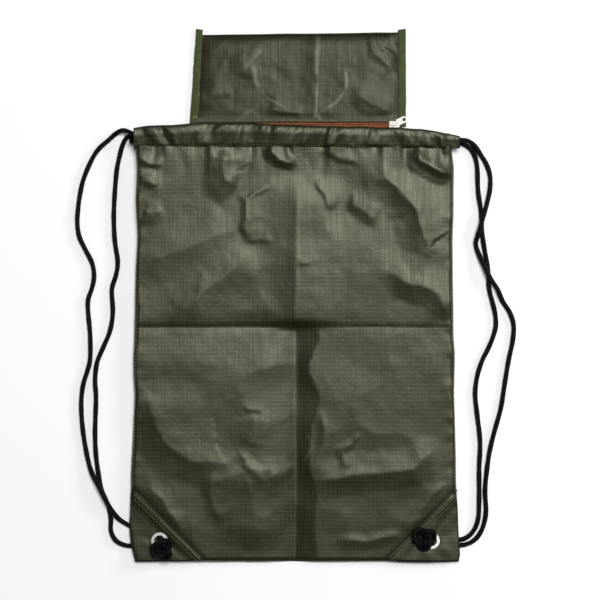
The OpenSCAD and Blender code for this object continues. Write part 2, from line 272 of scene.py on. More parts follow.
def tinted(tree, colour, factor):
    """colour multiplied by a grey factor, as a colour socket."""
    mix = tree.nodes.new("ShaderNodeVectorMath")
    mix.operation = "SCALE"
    mix.inputs[0].default_value = colour
    tree.links.new(factor, mix.inputs["Scale"])
    return mix.outputs[0]


def bumped(tree, add, shader, height, distance, strength=1.0):
    bump = add("ShaderNodeBump", Height=height, Strength=strength, Distance=distance)
    tree.links.new(bump.outputs["Normal"], shader.inputs["Normal"])


cord_material, tree, shader, add, calc = principled("cord_black", 0.6, 0.10)
where = add("ShaderNodeUVMap")
braid = tree.nodes.new("ShaderNodeGroup")
braid.node_tree = braid_tree
tree.links.new(where.outputs["UV"], braid.inputs["Along"])
tree.links.new(
    tinted(tree, (0.0024, 0.0024, 0.0023), braid.outputs["Shade"]), shader.inputs["Base Color"]
)
bumped(tree, add, shader, braid.outputs["Height"], 0.0004, 0.7)

# Each strand: out of the channel's mouth, beside the bag, under the corner, up the eyelet.
STRANDS = {
    "left_outer": [
        (-157, 161, 12.8), (-164, 163, 12.5), (-169, 165.5, 10.8), (-175, 167, 6.6),
        (-182, 164, 3.3), (-190, 157, 2.4), (-198, 150, 2.4), (-204, 142, 2.4),
        (-210, 130, 2.4), (-215, 117, 2.4), (-218, 104, 2.4), (-220, 90, 2.4),
        (-221, 74, 2.4), (-219, 60, 2.4), (-213, 47, 2.4), (-206, 33, 2.4),
        (-204, 20, 2.4), (-206, 8, 2.4), (-210, -4, 2.4), (-210, -17, 2.4),
        (-208, -40, 2.4), (-208, -64, 2.4), (-211, -77, 2.4), (-215, -90, 2.4),
        (-217, -108, 2.4), (-216, -130, 2.4), (-213, -152, 2.4), (-208, -174, 4.0),
        (-202, -187, 6.6), (-196, -198, 7.7), (-191, -208, 7.7), (-185, -218, 6.4),
        (-179, -226, 3.0), (-170, -232, 2.4), (-158, -238, 2.4), (-147, -243, 2.4),
        (-141, -245.3, 3.0), (-138.4, -245.3, 5.6), (-137.4, -245.3, 9.5),
    ],
    "left_inner": [
        (-157, 161, 3.3), (-165, 161.5, 3.0), (-171, 160, 2.5), (-175, 153, 2.4),
        (-178, 142, 2.4), (-181, 127, 2.4), (-183, 104, 2.4), (-184, 80, 2.4),
        (-183, 56, 2.4), (-180, 34, 2.4), (-182, 20, 2.4), (-186, 6, 2.4),
        (-185, -17, 2.4), (-188, -36, 2.4), (-195, -53, 2.4), (-201, -68, 2.4),
        (-203, -86, 2.4), (-202, -104, 2.4), (-203, -138, 2.4), (-202, -162, 2.4),
        (-199, -184, 2.4), (-196, -198, 2.4), (-190, -212, 2.4), (-187, -226, 2.4),
        (-187, -238, 2.4), (-182, -248, 2.4), (-172, -253, 2.4), (-160, -253, 2.4),
        (-147, -250.4, 2.4), (-141, -250.1, 3.0), (-138.4, -250.1, 5.6), (-137.4, -250.1, 9.5),
    ],
    "right_outer": [
        (157, 156.2, 12.8), (164, 156.4, 12.4), (169, 156.8, 10.6), (175, 156, 6.6),
        (182, 151, 3.2), (188, 142, 2.4), (193, 134, 2.4), (197, 122, 2.4),
        (197, 108, 2.4), (194, 94, 4.2), (190, 81, 7.2), (186, 66, 7.2),
        (182.5, 53, 3.4), (186, 41, 4.0), (191, 30, 7.0), (197, 17, 7.6),
        (204, 7, 4.8), (210, -6, 2.4), (217, -17, 2.4), (221, -30, 2.4),
        (220, -46, 2.4), (216, -65, 2.4), (212, -89, 2.4), (208, -114, 2.4),
        (202, -136, 2.4), (197, -156, 2.4), (194, -176, 2.4), (192, -198, 2.4),
        (193, -218, 2.4), (190, -234, 2.4), (183, -246, 2.4), (173, -251.8, 2.4),
        (160, -252.9, 2.4), (147, -251, 2.4), (141, -250.1, 3.0), (138.4, -250.1, 5.6),
        (137.4, -250.1, 9.5),
    ],
    "right_inner": [
        (157, 156.2, 3.3), (165, 156, 3.0), (170, 153.5, 2.5), (176, 150, 2.4),
        (181, 143, 2.4), (184, 130, 2.4), (185, 106, 2.4), (188, 84, 2.4),
        (189, 64, 2.4), (192, 44, 2.4), (195, 26, 2.4), (196, 8, 2.4),
        (199, -5, 2.4), (202, -17, 2.4), (203, -30, 2.4), (200, -42, 2.4),
        (195, -54, 2.4), (189, -66, 2.4), (184, -82, 2.4), (182, -100, 2.4),
        (184, -120, 2.4), (187, -148, 2.4), (186, -176, 2.4), (186, -206, 2.4),
        (185, -226, 2.4), (180, -238.5, 2.4), (171, -246.2, 2.4), (158, -247.6, 2.4),
        (147, -245.5, 2.4), (141, -245.3, 3.0), (138.4, -245.3, 5.6), (137.4, -245.3, 9.5),
    ],
}
STRAND_EXITS = {
    "left_outer": (-0.164, 0.163, 0.0132),
    "left_inner": (-0.165, 0.1615, 0.003),
    "right_outer": (0.164, 0.1564, 0.013),
    "right_inner": (0.165, 0.156, 0.003),
}
for strand, route in STRANDS.items():
    side = strand.split("_")[0]
    line = curve_through(route, 3.0)
    wobble = 1 + 0.045 * np.sin(np.arange(len(line)) * 0.9 + len(route))
    cord = tube(f"cord_{strand}", line, CORD_R * wobble, 12, cord_material)
    sign = -1 if side == "left" else 1
    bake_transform(cord)
    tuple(STRAND_EXITS[strand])
    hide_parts(f"{side}_strap_{strand.split('_')[1]}")

# Inside the channels each cord goes to the far end, turns there and comes back.
RUN_FRONT_Z = 12.8
RUN_BACK_Z = 3.3
TURN_R = (RUN_FRONT_Z - RUN_BACK_Z) / 2
for side, sign, y, far in (("left", -1, 161.2, 146), ("right", 1, 156.2, 158)):
    turn = [
        (-sign * (far + TURN_R * math.cos(a)), y, RUN_BACK_Z + TURN_R + TURN_R * math.sin(a))
        for a in np.radians([70, 35, 0, -35, -70])
    ]
    stops = [sign * 157, 0, 2 * sign - sign * far]
    route = [(stop, y, RUN_FRONT_Z) for stop in stops] + turn
    route += [(stop, y, RUN_BACK_Z) for stop in reversed(stops)]
    run = tube(f"cord_{side}_in_channel", curve_through(route, 4.0), CORD_R, 10, cord_material)
    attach(run, "bag")
    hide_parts(f"channel_cord_{side}")


# ---------------------------------------------------------------------------
# Knots
# Both ends of a cord come up through the corner eyelet and are tied together
# in one tight overhand knot, which keeps them from pulling back through.
# ---------------------------------------------------------------------------


def overhand(turns, size, flatness):
    """A closed overhand turn of cord, as a line of points about its own middle."""
    t = np.linspace(0, 2 * np.pi, turns, endpoint=False)
    x = (np.sin(t) + 2 * np.sin(2 * t)) / 3
    y = (np.cos(t) - 2 * np.cos(2 * t)) / 3
    z = -np.sin(3 * t) * flatness
    return np.column_stack([x * size, y * size, z * size])


def turned(points, about_z, lean):
    c, s = math.cos(about_z), math.sin(about_z)
    points = points @ np.array([[c, s, 0], [-s, c, 0], [0, 0, 1]])
    c, s = math.cos(lean), math.sin(lean)
    return points @ np.array([[c, 0, -s], [0, 1, 0], [s, 0, c]])


# Middle, reach, turn and lean of each knot, then the directions of its two tails.
KNOTS = {
    "left": ((-134.3, -256.0, 13.2), 8.0, 0.5, 0.08, [(-0.8, -0.6), (0.5, -0.9)]),
    "right": ((129.6, -244.6, 13.2), 8.8, 2.05, -0.10, [(-0.9, -0.3), (0.1, -1.0)]),
}
for side, (middle, size, spin, lean, tails) in KNOTS.items():
    middle = np.array(middle)
    path = turned(overhand(96, size, 0.36), spin, lean) + middle
    ahead = np.roll(path, -1, axis=0) - np.roll(path, 1, axis=0)
    beside = np.cross(ahead, (0, 0, 1))
    beside /= np.linalg.norm(beside, axis=1)[:, None]
    for number, shift in enumerate((-2.1, 2.1)):
        turn = path + beside * shift + (0, 0, 0.5 * number)
        loop = np.vstack([turn, turn[:1]])
        knot = tube(f"knot_{side}_strand_{number + 1}", loop, 2.55, 12, cord_material)
        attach(knot, "bag")
        if number == 0:
            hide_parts(f"knot_{side}", f"corner_cord_{side}")
    for number, (tx, ty) in enumerate(tails):
        way = np.array([(tx * r, ty * r, z) for r, z in ((4, -2), (8, -2.6), (12.5, -3.4))])
        stub = tube(
            f"knot_{side}_tail_{number + 1}", curve_through(way + middle, 1.0), 2.2, 12, cord_material
        )
        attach(stub, "bag")


# ---------------------------------------------------------------------------
# Ripstop cloth
# One cloth for every panel: olive nylon with a raised thread every 4 mm both
# ways, with a painted highlight along its sharpest creases. A sewn panel is a
# thin closed sheet with its wrinkles in its shape.
# ---------------------------------------------------------------------------

ripstop_tree, ripstop_in, ripstop_out = shader_group(
    "ripstop",
    [
        ("Cloth", VECTOR, None),
        ("Pitch Across", FLOAT, 0.0037),
        ("Pitch Along", FLOAT, 0.00404),
        ("Thread", FLOAT, 0.2),
        ("Fade", FLOAT, 0.5),
    ],
    [("Lines", FLOAT), ("Shade", FLOAT), ("Gloss", FLOAT), ("Weave", FLOAT), ("Crinkle", FLOAT)],
)
add, calc = node_maker(ripstop_tree)
waver = add("ShaderNodeTexNoise", Vector=ripstop_in.outputs["Cloth"], Scale=28.0, Detail=1.0)
shift = ripstop_tree.nodes.new("ShaderNodeVectorMath")
shift.operation = "MULTIPLY_ADD"
ripstop_tree.links.new(waver.outputs["Color"], shift.inputs[0])
shift.inputs[1].default_value = (0.0022, 0.0022, 0)
ripstop_tree.links.new(ripstop_in.outputs["Cloth"], shift.inputs[2])
parts = add("ShaderNodeSeparateXYZ", Vector=shift.outputs[0])
lines = []
for axis, pitch in (("X", "Pitch Across"), ("Y", "Pitch Along")):
    cell = calc("FRACT", calc("DIVIDE", parts.outputs[axis], ripstop_in.outputs[pitch]))
    off = calc("ABSOLUTE", calc("SUBTRACT", cell, 0.5))
    near = calc("DIVIDE", calc("SUBTRACT", 0.5, off), ripstop_in.outputs["Thread"])
    lines.append(calc("SUBTRACT", 1.0, calc("MINIMUM", near, 1.0)))
grid = calc("MAXIMUM", lines[0], lines[1])
crossing = calc("MULTIPLY", lines[0], lines[1])
ripstop_tree.links.new(
    calc("MULTIPLY_ADD", grid, 0.75, calc("MULTIPLY", crossing, 0.25)), ripstop_out.inputs["Lines"]
)
fine = add("ShaderNodeTexNoise", Vector=ripstop_in.outputs["Cloth"], Scale=1500.0, Detail=2.0)
blotch = add("ShaderNodeTexNoise", Vector=ripstop_in.outputs["Cloth"], Scale=9.0, Detail=3.0)
streak_place = ripstop_tree.nodes.new("ShaderNodeVectorMath")
streak_place.operation = "MULTIPLY"
ripstop_tree.links.new(ripstop_in.outputs["Cloth"], streak_place.inputs[0])
streak_place.inputs[1].default_value = (1.0, 0.04, 1.0)
streaks = add("ShaderNodeTexNoise", Vector=streak_place.outputs[0], Scale=480.0, Detail=3.0)
worn = calc("MULTIPLY", calc("SUBTRACT", blotch.outputs["Fac"], 0.5), ripstop_in.outputs["Fade"])
grain = calc("MULTIPLY_ADD", fine.outputs["Fac"], 0.5, 0.75)
ripstop_tree.links.new(calc("ADD", grain, worn), ripstop_out.inputs["Shade"])
ripstop_tree.links.new(
    calc("MULTIPLY_ADD", streaks.outputs["Fac"], 0.26, 0.265),
    ripstop_out.inputs["Gloss"],
)
ripstop_tree.links.new(
    calc("MULTIPLY_ADD", grid, 0.5, calc("MULTIPLY", fine.outputs["Fac"], 0.5)),
    ripstop_out.inputs["Weave"],
)
crease = add(
    "ShaderNodeTexNoise", Vector=ripstop_in.outputs["Cloth"], Scale=62.0, Detail=3.0, Distortion=0.6
)
ridge = calc("ABSOLUTE", calc("SUBTRACT", crease.outputs["Fac"], 0.5))
ripstop_tree.links.new(
    calc("MULTIPLY_ADD", streaks.outputs["Fac"], 0.10, ridge), ripstop_out.inputs["Crinkle"]
)


def cloth_material(name, ground, thread, fade=0.45, specular=0.46):
    material, tree, shader, add, _ = principled(name, 0.45, specular)
    shader.inputs["Specular Tint"].default_value = (1.0, 0.99, 0.74, 1)
    where = add("ShaderNodeUVMap")
    weave = tree.nodes.new("ShaderNodeGroup")
    weave.node_tree = ripstop_tree
    weave.inputs["Pitch Across"].default_value = 0.0037
    weave.inputs["Pitch Along"].default_value = 0.00404
    weave.inputs["Thread"].default_value = 0.2
    weave.inputs["Fade"].default_value = fade
    tree.links.new(where.outputs["UV"], weave.inputs["Cloth"])
    mix = tree.nodes.new("ShaderNodeMix")
    mix.data_type = "RGBA"
    tree.links.new(weave.outputs["Lines"], mix.inputs[0])
    tree.links.new(tinted(tree, ground, weave.outputs["Shade"]), mix.inputs[6])
    mix.inputs[7].default_value = thread + (1,)
    # Painted highlight: a light khaki colour is mixed into the base colour along the sharpest creases and
    # stands in for the light they catch.
    highlighted = tree.nodes.new("ShaderNodeMix")
    highlighted.data_type = "RGBA"
    creases = tree.nodes.new("ShaderNodeAttribute")
    creases.attribute_name = "crease_highlight"
    tree.links.new(creases.outputs["Fac"], highlighted.inputs[0])
    tree.links.new(mix.outputs[2], highlighted.inputs[6])
    highlighted.inputs[7].default_value = (0.135, 0.132, 0.098, 1)
    tree.links.new(highlighted.outputs[2], shader.inputs["Base Color"])
    tree.links.new(weave.outputs["Gloss"], shader.inputs["Roughness"])
    creased = add(
        "ShaderNodeBump", Height=weave.outputs["Crinkle"], Strength=0.12, Distance=0.0022
    )
    woven = add("ShaderNodeBump", Height=weave.outputs["Weave"], Strength=0.35, Distance=0.00018)
    tree.links.new(creased.outputs["Normal"], woven.inputs["Normal"])
    tree.links.new(woven.outputs["Normal"], shader.inputs["Normal"])
    return material


olive_cloth = cloth_material("ripstop_olive", (0.0070, 0.0076, 0.0022), (0.022, 0.021, 0.008))
olive_inside = cloth_material("ripstop_olive_back", (0.011, 0.0115, 0.005), (0.024, 0.023, 0.011))


def soft_noise(x, y, size, seed, stretch=1.0):
    """Smooth noise from -1 to 1, with bumps about size wide and size times stretch tall."""
    lattice = np.random.RandomState(seed).rand(64, 64) * 2 - 1
    u, v = x / size + 31.3, y / (size * stretch) + 17.7
    iu, iv = np.floor(u).astype(int), np.floor(v).astype(int)
    fu, fv = u - iu, v - iv
    fu, fv = fu * fu * (3 - 2 * fu), fv * fv * (3 - 2 * fv)
    a = lattice[iu % 64, iv % 64] * (1 - fu) + lattice[(iu + 1) % 64, iv % 64] * fu
    b = lattice[iu % 64, (iv + 1) % 64] * (1 - fu) + lattice[(iu + 1) % 64, (iv + 1) % 64] * fu
    return a * (1 - fv) + b * fv


def smooth_step(t):
    t = np.clip(t, 0, 1)
    return t * t * (3 - 2 * t)


def fold_height(x, y, points, height, width, lee):
    """A fold along a line of points: a ridge of that height, in millimetres, falling away over
    width on the left of the line's direction and over lee on the right, and fading at its ends."""
    p = np.array(points, float)
    lengths = np.linalg.norm(np.diff(p, axis=0), axis=1)
    total = lengths.sum()
    best = np.full(x.shape, 1e9)
    signed = np.zeros(x.shape)
    along = np.zeros(x.shape)
    walked = 0.0
    for a, b, length in zip(p[:-1], p[1:], lengths):
        dx, dy = (b - a) / length
        t = np.clip((x - a[0]) * dx + (y - a[1]) * dy, 0, length)
        ox, oy = x - a[0] - t * dx, y - a[1] - t * dy
        d = np.hypot(ox, oy)
        nearer = d < best
        best = np.where(nearer, d, best)
        signed = np.where(nearer, dx * oy - dy * ox, signed)
        along = np.where(nearer, walked + t, along)
        walked += length
    reach = np.where(signed > 0, width, lee)
    ends = smooth_step(along / (0.3 * total) + 0.15) * smooth_step((total - along) / (0.3 * total) + 0.15)
    return height * ends * np.clip(1 - best / (2 * reach), 0, 1) ** 1.3


def warped(x, y, wide, amount, seed):
    """Points moved a little about, so that no fold runs quite straight."""
    dx = amount * soft_noise(x, y, wide, seed) + 0.4 * amount * soft_noise(x, y, wide / 3, seed + 1)
    dy = amount * soft_noise(x, y, wide, seed + 2) + 0.4 * amount * soft_noise(x, y, wide / 3, seed + 3)
    return x + dx, y + dy


def painted_crease_highlights(x, y, lines):
    """How strongly the painted highlight lightens the cloth along its sharpest creases, from 0 to 1."""
    x, y = warped(x, y, 12, 0.9, 71)
    crease_highlight = np.zeros(x.shape)
    for points, strength, width, lee in lines:
        crease_highlight = np.maximum(crease_highlight, fold_height(x, y, points, strength, width, lee))
    return np.clip(crease_highlight * (1.6 + 0.7 * soft_noise(x, y, 7, 75)), 0, 1)


def sheet(name, x, y, z, thick, material, uv_x=None, uv_y=None, crease_highlight=None):
    """A closed sheet from grids of points, in millimetres. z is its upper side."""
    rows, cols = x.shape
    upper = np.column_stack([x.ravel(), y.ravel(), z.ravel()])
    lower = upper - (0, 0, thick)
    u = (x if uv_x is None else uv_x).ravel() / 1000
    v = (y if uv_y is None else uv_y).ravel() / 1000
    i = np.arange(rows * cols).reshape(rows, cols)
    a, b, c, d = i[:-1, :-1].ravel(), i[:-1, 1:].ravel(), i[1:, 1:].ravel(), i[1:, :-1].ravel()
    top = np.column_stack([a, b, c, d])
    bottom = np.column_stack([d, c, b, a]) + rows * cols
    rim = np.concatenate([i[0, :], i[1:, -1], i[-1, -2::-1], i[-2:0:-1, 0]])
    after = np.roll(rim, -1)
    edge = np.column_stack([after, rim, rim + rows * cols, after + rows * cols])
    faces = np.vstack([top, bottom, edge])
    flat = faces.ravel() % (rows * cols)
    obj = mesh_object(
        name,
        np.vstack([upper, lower]),
        faces.tolist(),
        np.column_stack([u[flat], v[flat]]),
        [material],
    )
    # The strength of the painted crease highlight at each point, read by the cloth's material.
    if crease_highlight is not None:
        store = obj.data.attributes.new("crease_highlight", "FLOAT", "POINT")
        store.data.foreach_set("value", np.tile(crease_highlight.ravel(), 2).astype(np.float32))
    return obj


# ---------------------------------------------------------------------------
# Front and back panels
# The two sides of the sack, sewn together down the sides and folded at the
# bottom. They were folded in four to be packed, and still show the creases.
# ---------------------------------------------------------------------------

SIDE_Y = [-270, -262, -250, -232, -187, -150, -100, -60, -5, 60, 100, 130, 150]
LEFT_X = [-161.5, -163.6, -166, -168, -167, -166, -163.5, -164.3, -163, -160.3, -161.5, -161, -162]
RIGHT_X = [165.5, 166.8, 166, 164.6, 162.5, 161.5, 160, 161, 159.7, 159.3, 160.3, 161, 158.4]


def bag_grid(step, top):
    rows, cols = int(419 / step), int(326 / step)
    v, u = np.meshgrid(np.linspace(0, 1, rows), np.linspace(0, 1, cols), indexing="ij")
    y = -269.5 + v * (top + 269.5)
    left, right = np.interp(y, SIDE_Y, LEFT_X), np.interp(y, SIDE_Y, RIGHT_X)
    left = left + soft_noise(y, y * 0 + 3, 34, 5) * 0.8
    right = right + soft_noise(y, y * 0 + 9, 30, 6) * 0.8
    x = left + u * (right - left)
    y = y + 0.8 * soft_noise(x, x * 0, 46, 7) * (1 - v)
    return x, y, x - left, right - x


EYELET_X = 137.4
EYELET_Y = -247.7


def into_corner(x, y):
    """How far points lie past the slanting line that cuts off a bottom corner."""
    return (np.abs(x) - 166) * 0.712 + (-195 - y) * 0.702


def corner_rise(x, y):
    """1 in a bottom corner, which lies on its cords, and 0 on the rest of the bag."""
    return smooth_step((into_corner(x, y) + 3) / 15)


# Folds of the front: line, height, spread on its left side, spread on its right side.
FRONT_FOLDS = [
    ([(-29, 151), (-25, 142), (-18, 136), (-8, 133), (0, 137)], 2.9, 12, 5),
    ([(-72, 149), (-73, 130), (-70, 116), (-56, 110)], 2.6, 16, 13),
    ([(-56, 104), (-50, 93), (-51, 80), (-54, 69), (-48, 52)], 1.2, 11, 3),
    ([(-50, 55), (-38, 56.5), (-24, 56)], 0.6, 10, 2.2),
    ([(-50, 96), (-26, 112)], 0.7, 2, 2),
    ([(-160, 112), (-150, 113), (-136, 111)], 1.8, 8, 5),
    ([(-160, 124), (-150, 118), (-140, 116)], 1.2, 5, 4),
    ([(-158, 140), (-148, 133), (-134, 130)], 1.4, 6, 4),
    ([(-154, 84), (-145, 80), (-132, 84)], 1.2, 8, 6),
    ([(-134, -26), (-117, -16), (-90, 6), (-58, 30), (-45, 52)], 1.7, 14, 17),
    ([(-158, 34), (-120, 42), (-88, 56), (-60, 70)], 1.5, 16, 14),
    ([(88, 150), (92, 118), (106, 104), (122, 88), (128, 62), (132, 46), (156, 38)], 3.6, 18, 14),
    ([(54, 104), (60, 91), (74, 78), (84, 74)], 1.3, 15, 4.5),
    ([(19, 115), (30, 102), (36, 85)], 0.9, 9, 2.2),
    ([(118, 150), (126, 136), (140, 127), (160, 124)], 4.2, 9, 7),
    ([(92, 24), (124, 10), (146, 0), (152, -26)], 2.2, 14, 10),
    ([(21, 147), (43, 138), (65, 133)], 0.8, 6, 2.5),
    ([(1, 31), (15, 31)], 0.5, 4, 1.5),
    ([(-156, -86), (-146, -120), (-134, -146), (-108, -166), (-74, -169), (-58, -158)], 2.4, 26, 14),
    ([(-58, -170), (-46, -196), (-38, -225), (-40, -258)], 1.8, 18, 22),
    ([(-88, -176), (-84, -204), (-78, -232)], 0.9, 14, 6),
    ([(-60, -154), (-50, -167), (-40, -177), (-26, -186)], 0.8, 4, 5),
    ([(-55, -168), (-44, -176)], 0.4, 2, 3),
    ([(-28, -184), (-12, -178), (0, -168)], 0.8, 8, 6),
    ([(-53, -112), (-46, -116), (-30, -117)], 0.5, 5, 1.6),
    ([(-44, -120), (-42, -136), (-46, -152)], 0.7, 9, 12),
    ([(47, -159), (56, -150), (66, -140)], 0.6, 3, 2.5),
    ([(44, -150), (47, -165), (48, -176)], 0.7, 8, 3),
    ([(24, -112), (30, -135), (30, -152), (20, -170), (9, -186)], 1.0, 8, 5),
    ([(8, -187), (50, -183), (92, -178), (118, -174), (142, -156)], 2.0, 12, 10),
    ([(38, -248), (72, -249), (112, -240)], 0.9, 4, 5),
    ([(-152, -190), (-134, -206), (-112, -240)], 1.0, 6, 6),
    ([(150, -190), (132, -208), (108, -242)], 1.0, 6, 6),
]

# Painted highlights along the creases: line, strength, spread on each side.
FRONT_CREASE_HIGHLIGHTS = [
    ([(-52, 95), (-40, 103), (-26, 112)], 0.2, 1.3, 1.3),
    ([(3, 122), (3, 80), (2, 20), (1, -20)], 0.22, 1.5, 1.2),
    ([(1, -34), (1, -80), (1, -140)], 0.16, 1.2, 1.2),
    ([(-156, -36), (-90, -37), (-30, -36), (0, -35)], 0.12, 2.2, 2.2),
    ([(-55, -158), (-47, -172), (-38, -180), (-26, -187)], 0.30, 2.4, 1.4),
    ([(-30, -183), (-14, -178), (0, -168)], 0.24, 3.2, 2.2),
    ([(-50, -146), (-36, -148), (-26, -148)], 0.16, 1.4, 1.4),
    ([(12, -136), (18, -152), (8, -170)], 0.16, 1.4, 1.4),
    ([(-160, 128), (-150, 124), (-138, 122)], 0.20, 1.6, 1.6),
    ([(-160, 110), (-150, 104), (-140, 102)], 0.22, 1.8, 1.8),
    ([(112, 140), (126, 124), (144, 116), (160, 114)], 0.20, 2.0, 1.6),
    ([(122, 52), (140, 40), (158, 44)], 0.20, 2.0, 1.6),
    ([(-160, -64), (-140, -62), (-132, -72)], 0.14, 1.6, 1.6),
    ([(8, 140), (14, 130), (12, 122)], 0.24, 2.0, 2.0),
]


def rounded(t):
    """The rise of a rounded edge: 0 at its rim, 1 from t = 1 on."""
    return np.sqrt(np.maximum(1 - (1 - np.clip(t, 0, 1)) ** 2, 0))


def front_surface(x, y, from_left, from_right):
    """Height of the front panel's upper side."""
    side = np.maximum(np.minimum(from_left, from_right), 0)
    crown = np.interp(y, [-270, -150, -40, 60, 120, 150], [5.4, 6.5, 8.2, 9.7, 11.1, 12.6])
    crown += 0.018 * np.maximum(-x, 0) + 0.011 * np.maximum(x, 0) + 0.9 * soft_noise(x, y, 90, 11)
    rim = 4.0 + 1.3 * soft_noise(x, y, 26, 9)
    up = np.maximum(y + 270, 0)
    swell = rounded(side / rim) * rounded(up / 5)
    z = 1.3 + (crown - 1.3) * swell
    folds = np.zeros(x.shape)
    bent_x, bent_y = warped(x, y, 20, 2.2, 61)
    for points, height, width, lee in FRONT_FOLDS:
        folds += fold_height(bent_x, bent_y, points, height, width, lee)
    across = x - 0.5 + 1.3 * soft_noise(y, x * 0, 38, 12)
    lower = smooth_step((-24 - y) / 12)
    up_left, up_right = np.clip(1 + across / 42, 0, 1), np.clip(1 - across / 50, 0, 1)
    ragged = 19 + 7 * soft_noise(y, x * 0 + 5, 32, 8)
    down_left, down_right = np.clip(1 + across / 34, 0, 1), np.clip(1 - across / ragged, 0, 1)
    upper_crease = np.where(across < 0, up_left**2, up_right)
    lower_crease = np.where(across < 0, down_left**1.6, down_right)
    fading = smooth_step((128 - y) / 40)
    folds += 2.9 * upper_crease * (1 - lower) * fading - 3.9 * lower_crease * lower
    along = y + 30.5 + 0.7 * soft_noise(x, y * 0, 45, 10)
    above, below = np.clip(1 - along / 17, 0, 1), np.clip(1 + along / 40, 0, 1)
    folds -= np.where(along > 0, 0.55 * above**1.6, below**1.3) * (
        np.interp(x, [-160, -60, 20, 60, 160], [1.2, 1.5, 1.5, 1.1, 1.0])
        + 0.5 * soft_noise(x, y, 60, 20)
    )
    folds -= (0.2 + 0.5 * np.exp(-(((x + 26) / 52) ** 2))) * np.exp(-np.abs(along) / 1.6)
    ridged = 1 - np.abs(soft_noise(x + 0.4 * y, y - 0.3 * x, 52, 13)) * 2
    folds += 0.5 * ridged + 0.26 * soft_noise(x, y, 24, 14) + 0.10 * soft_noise(x, y, 9, 15)
    puckers = soft_noise(x + 3 * soft_noise(x, y, 20, 16), y, 7.5, 17, 7)
    folds += 1.4 * puckers * np.exp(-(149 - y) / 12)
    seam = soft_noise(x, y, 60, 18, 0.14)
    folds += 0.9 * seam * np.exp(-side / 6)
    z = z + folds * (0.25 + 0.75 * smooth_step(swell * 1.25))
    rise = corner_rise(x, y)
    z -= 1.1 * np.exp(-np.abs(into_corner(x, y) + 1.5) / 1.8) * swell
    around = np.arctan2(y - EYELET_Y, np.abs(x) - EYELET_X)
    out = np.hypot(y - EYELET_Y, np.abs(x) - EYELET_X)
    pulled = soft_noise(around * 9 + np.sign(x) * 40, out, 4.5, 22, 8)
    pulled = pulled * smooth_step((out - 8) / 8) * np.exp(-out / 40)
    flat = 6.5 + 0.4 * soft_noise(x, y, 14, 19) + 0.9 * pulled - 0.8 * np.exp(-side / 2.0)
    z = z * (1 - rise) + flat * rise
    return np.maximum(z, 0.95 + 5.0 * rise)


x, y, from_left, from_right = bag_grid(1.76, 151.5)
front_z = front_surface(x, y, from_left, from_right)
front_panel = sheet(
    "front_panel_cloth", x, y, front_z, 0.35, olive_cloth, crease_highlight=painted_crease_highlights(x, y, FRONT_CREASE_HIGHLIGHTS)
)
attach(front_panel, "bag")
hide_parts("front_panel")


def on_front(px, py):
    """The front panel's height under points, for what is sewn to it."""
    px, py = np.atleast_1d(np.asarray(px, float)), np.atleast_1d(np.asarray(py, float))
    left, right = np.interp(py, SIDE_Y, LEFT_X), np.interp(py, SIDE_Y, RIGHT_X)
    return front_surface(px, py, px - left, right - px)


x, y, _, _ = bag_grid(4.0, 150.0)
rise = corner_rise(x, y)
back_z = 0.62 + 5.1 * rise + 0.2 * soft_noise(x, y, 26, 21) * (1 - rise)
back_panel = sheet("back_panel_cloth", x, y, back_z, 0.32, olive_inside)
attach(back_panel, "bag")
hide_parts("back_panel")


# ---------------------------------------------------------------------------
# Hem channels
# The top of each panel is turned over and stitched down to a tube, gathered a
# little on its cords. The front one rolls over the pouch's zip at the left.
# ---------------------------------------------------------------------------

CREST_X = [-164, -150, -112, -100, -60, -34, 0, 40, 99, 127, 150, 166]
CREST_Y = [168.6, 171, 172.4, 174.2, 174.6, 173.4, 171.4, 170.5, 169.5, 167.6, 163.9, 160.2]
FOOT_X = [-164, -120, 0, 100, 140, 166]
FOOT_Y = [148.5, 149.6, 149.8, 149.0, 147.8, 149.0]


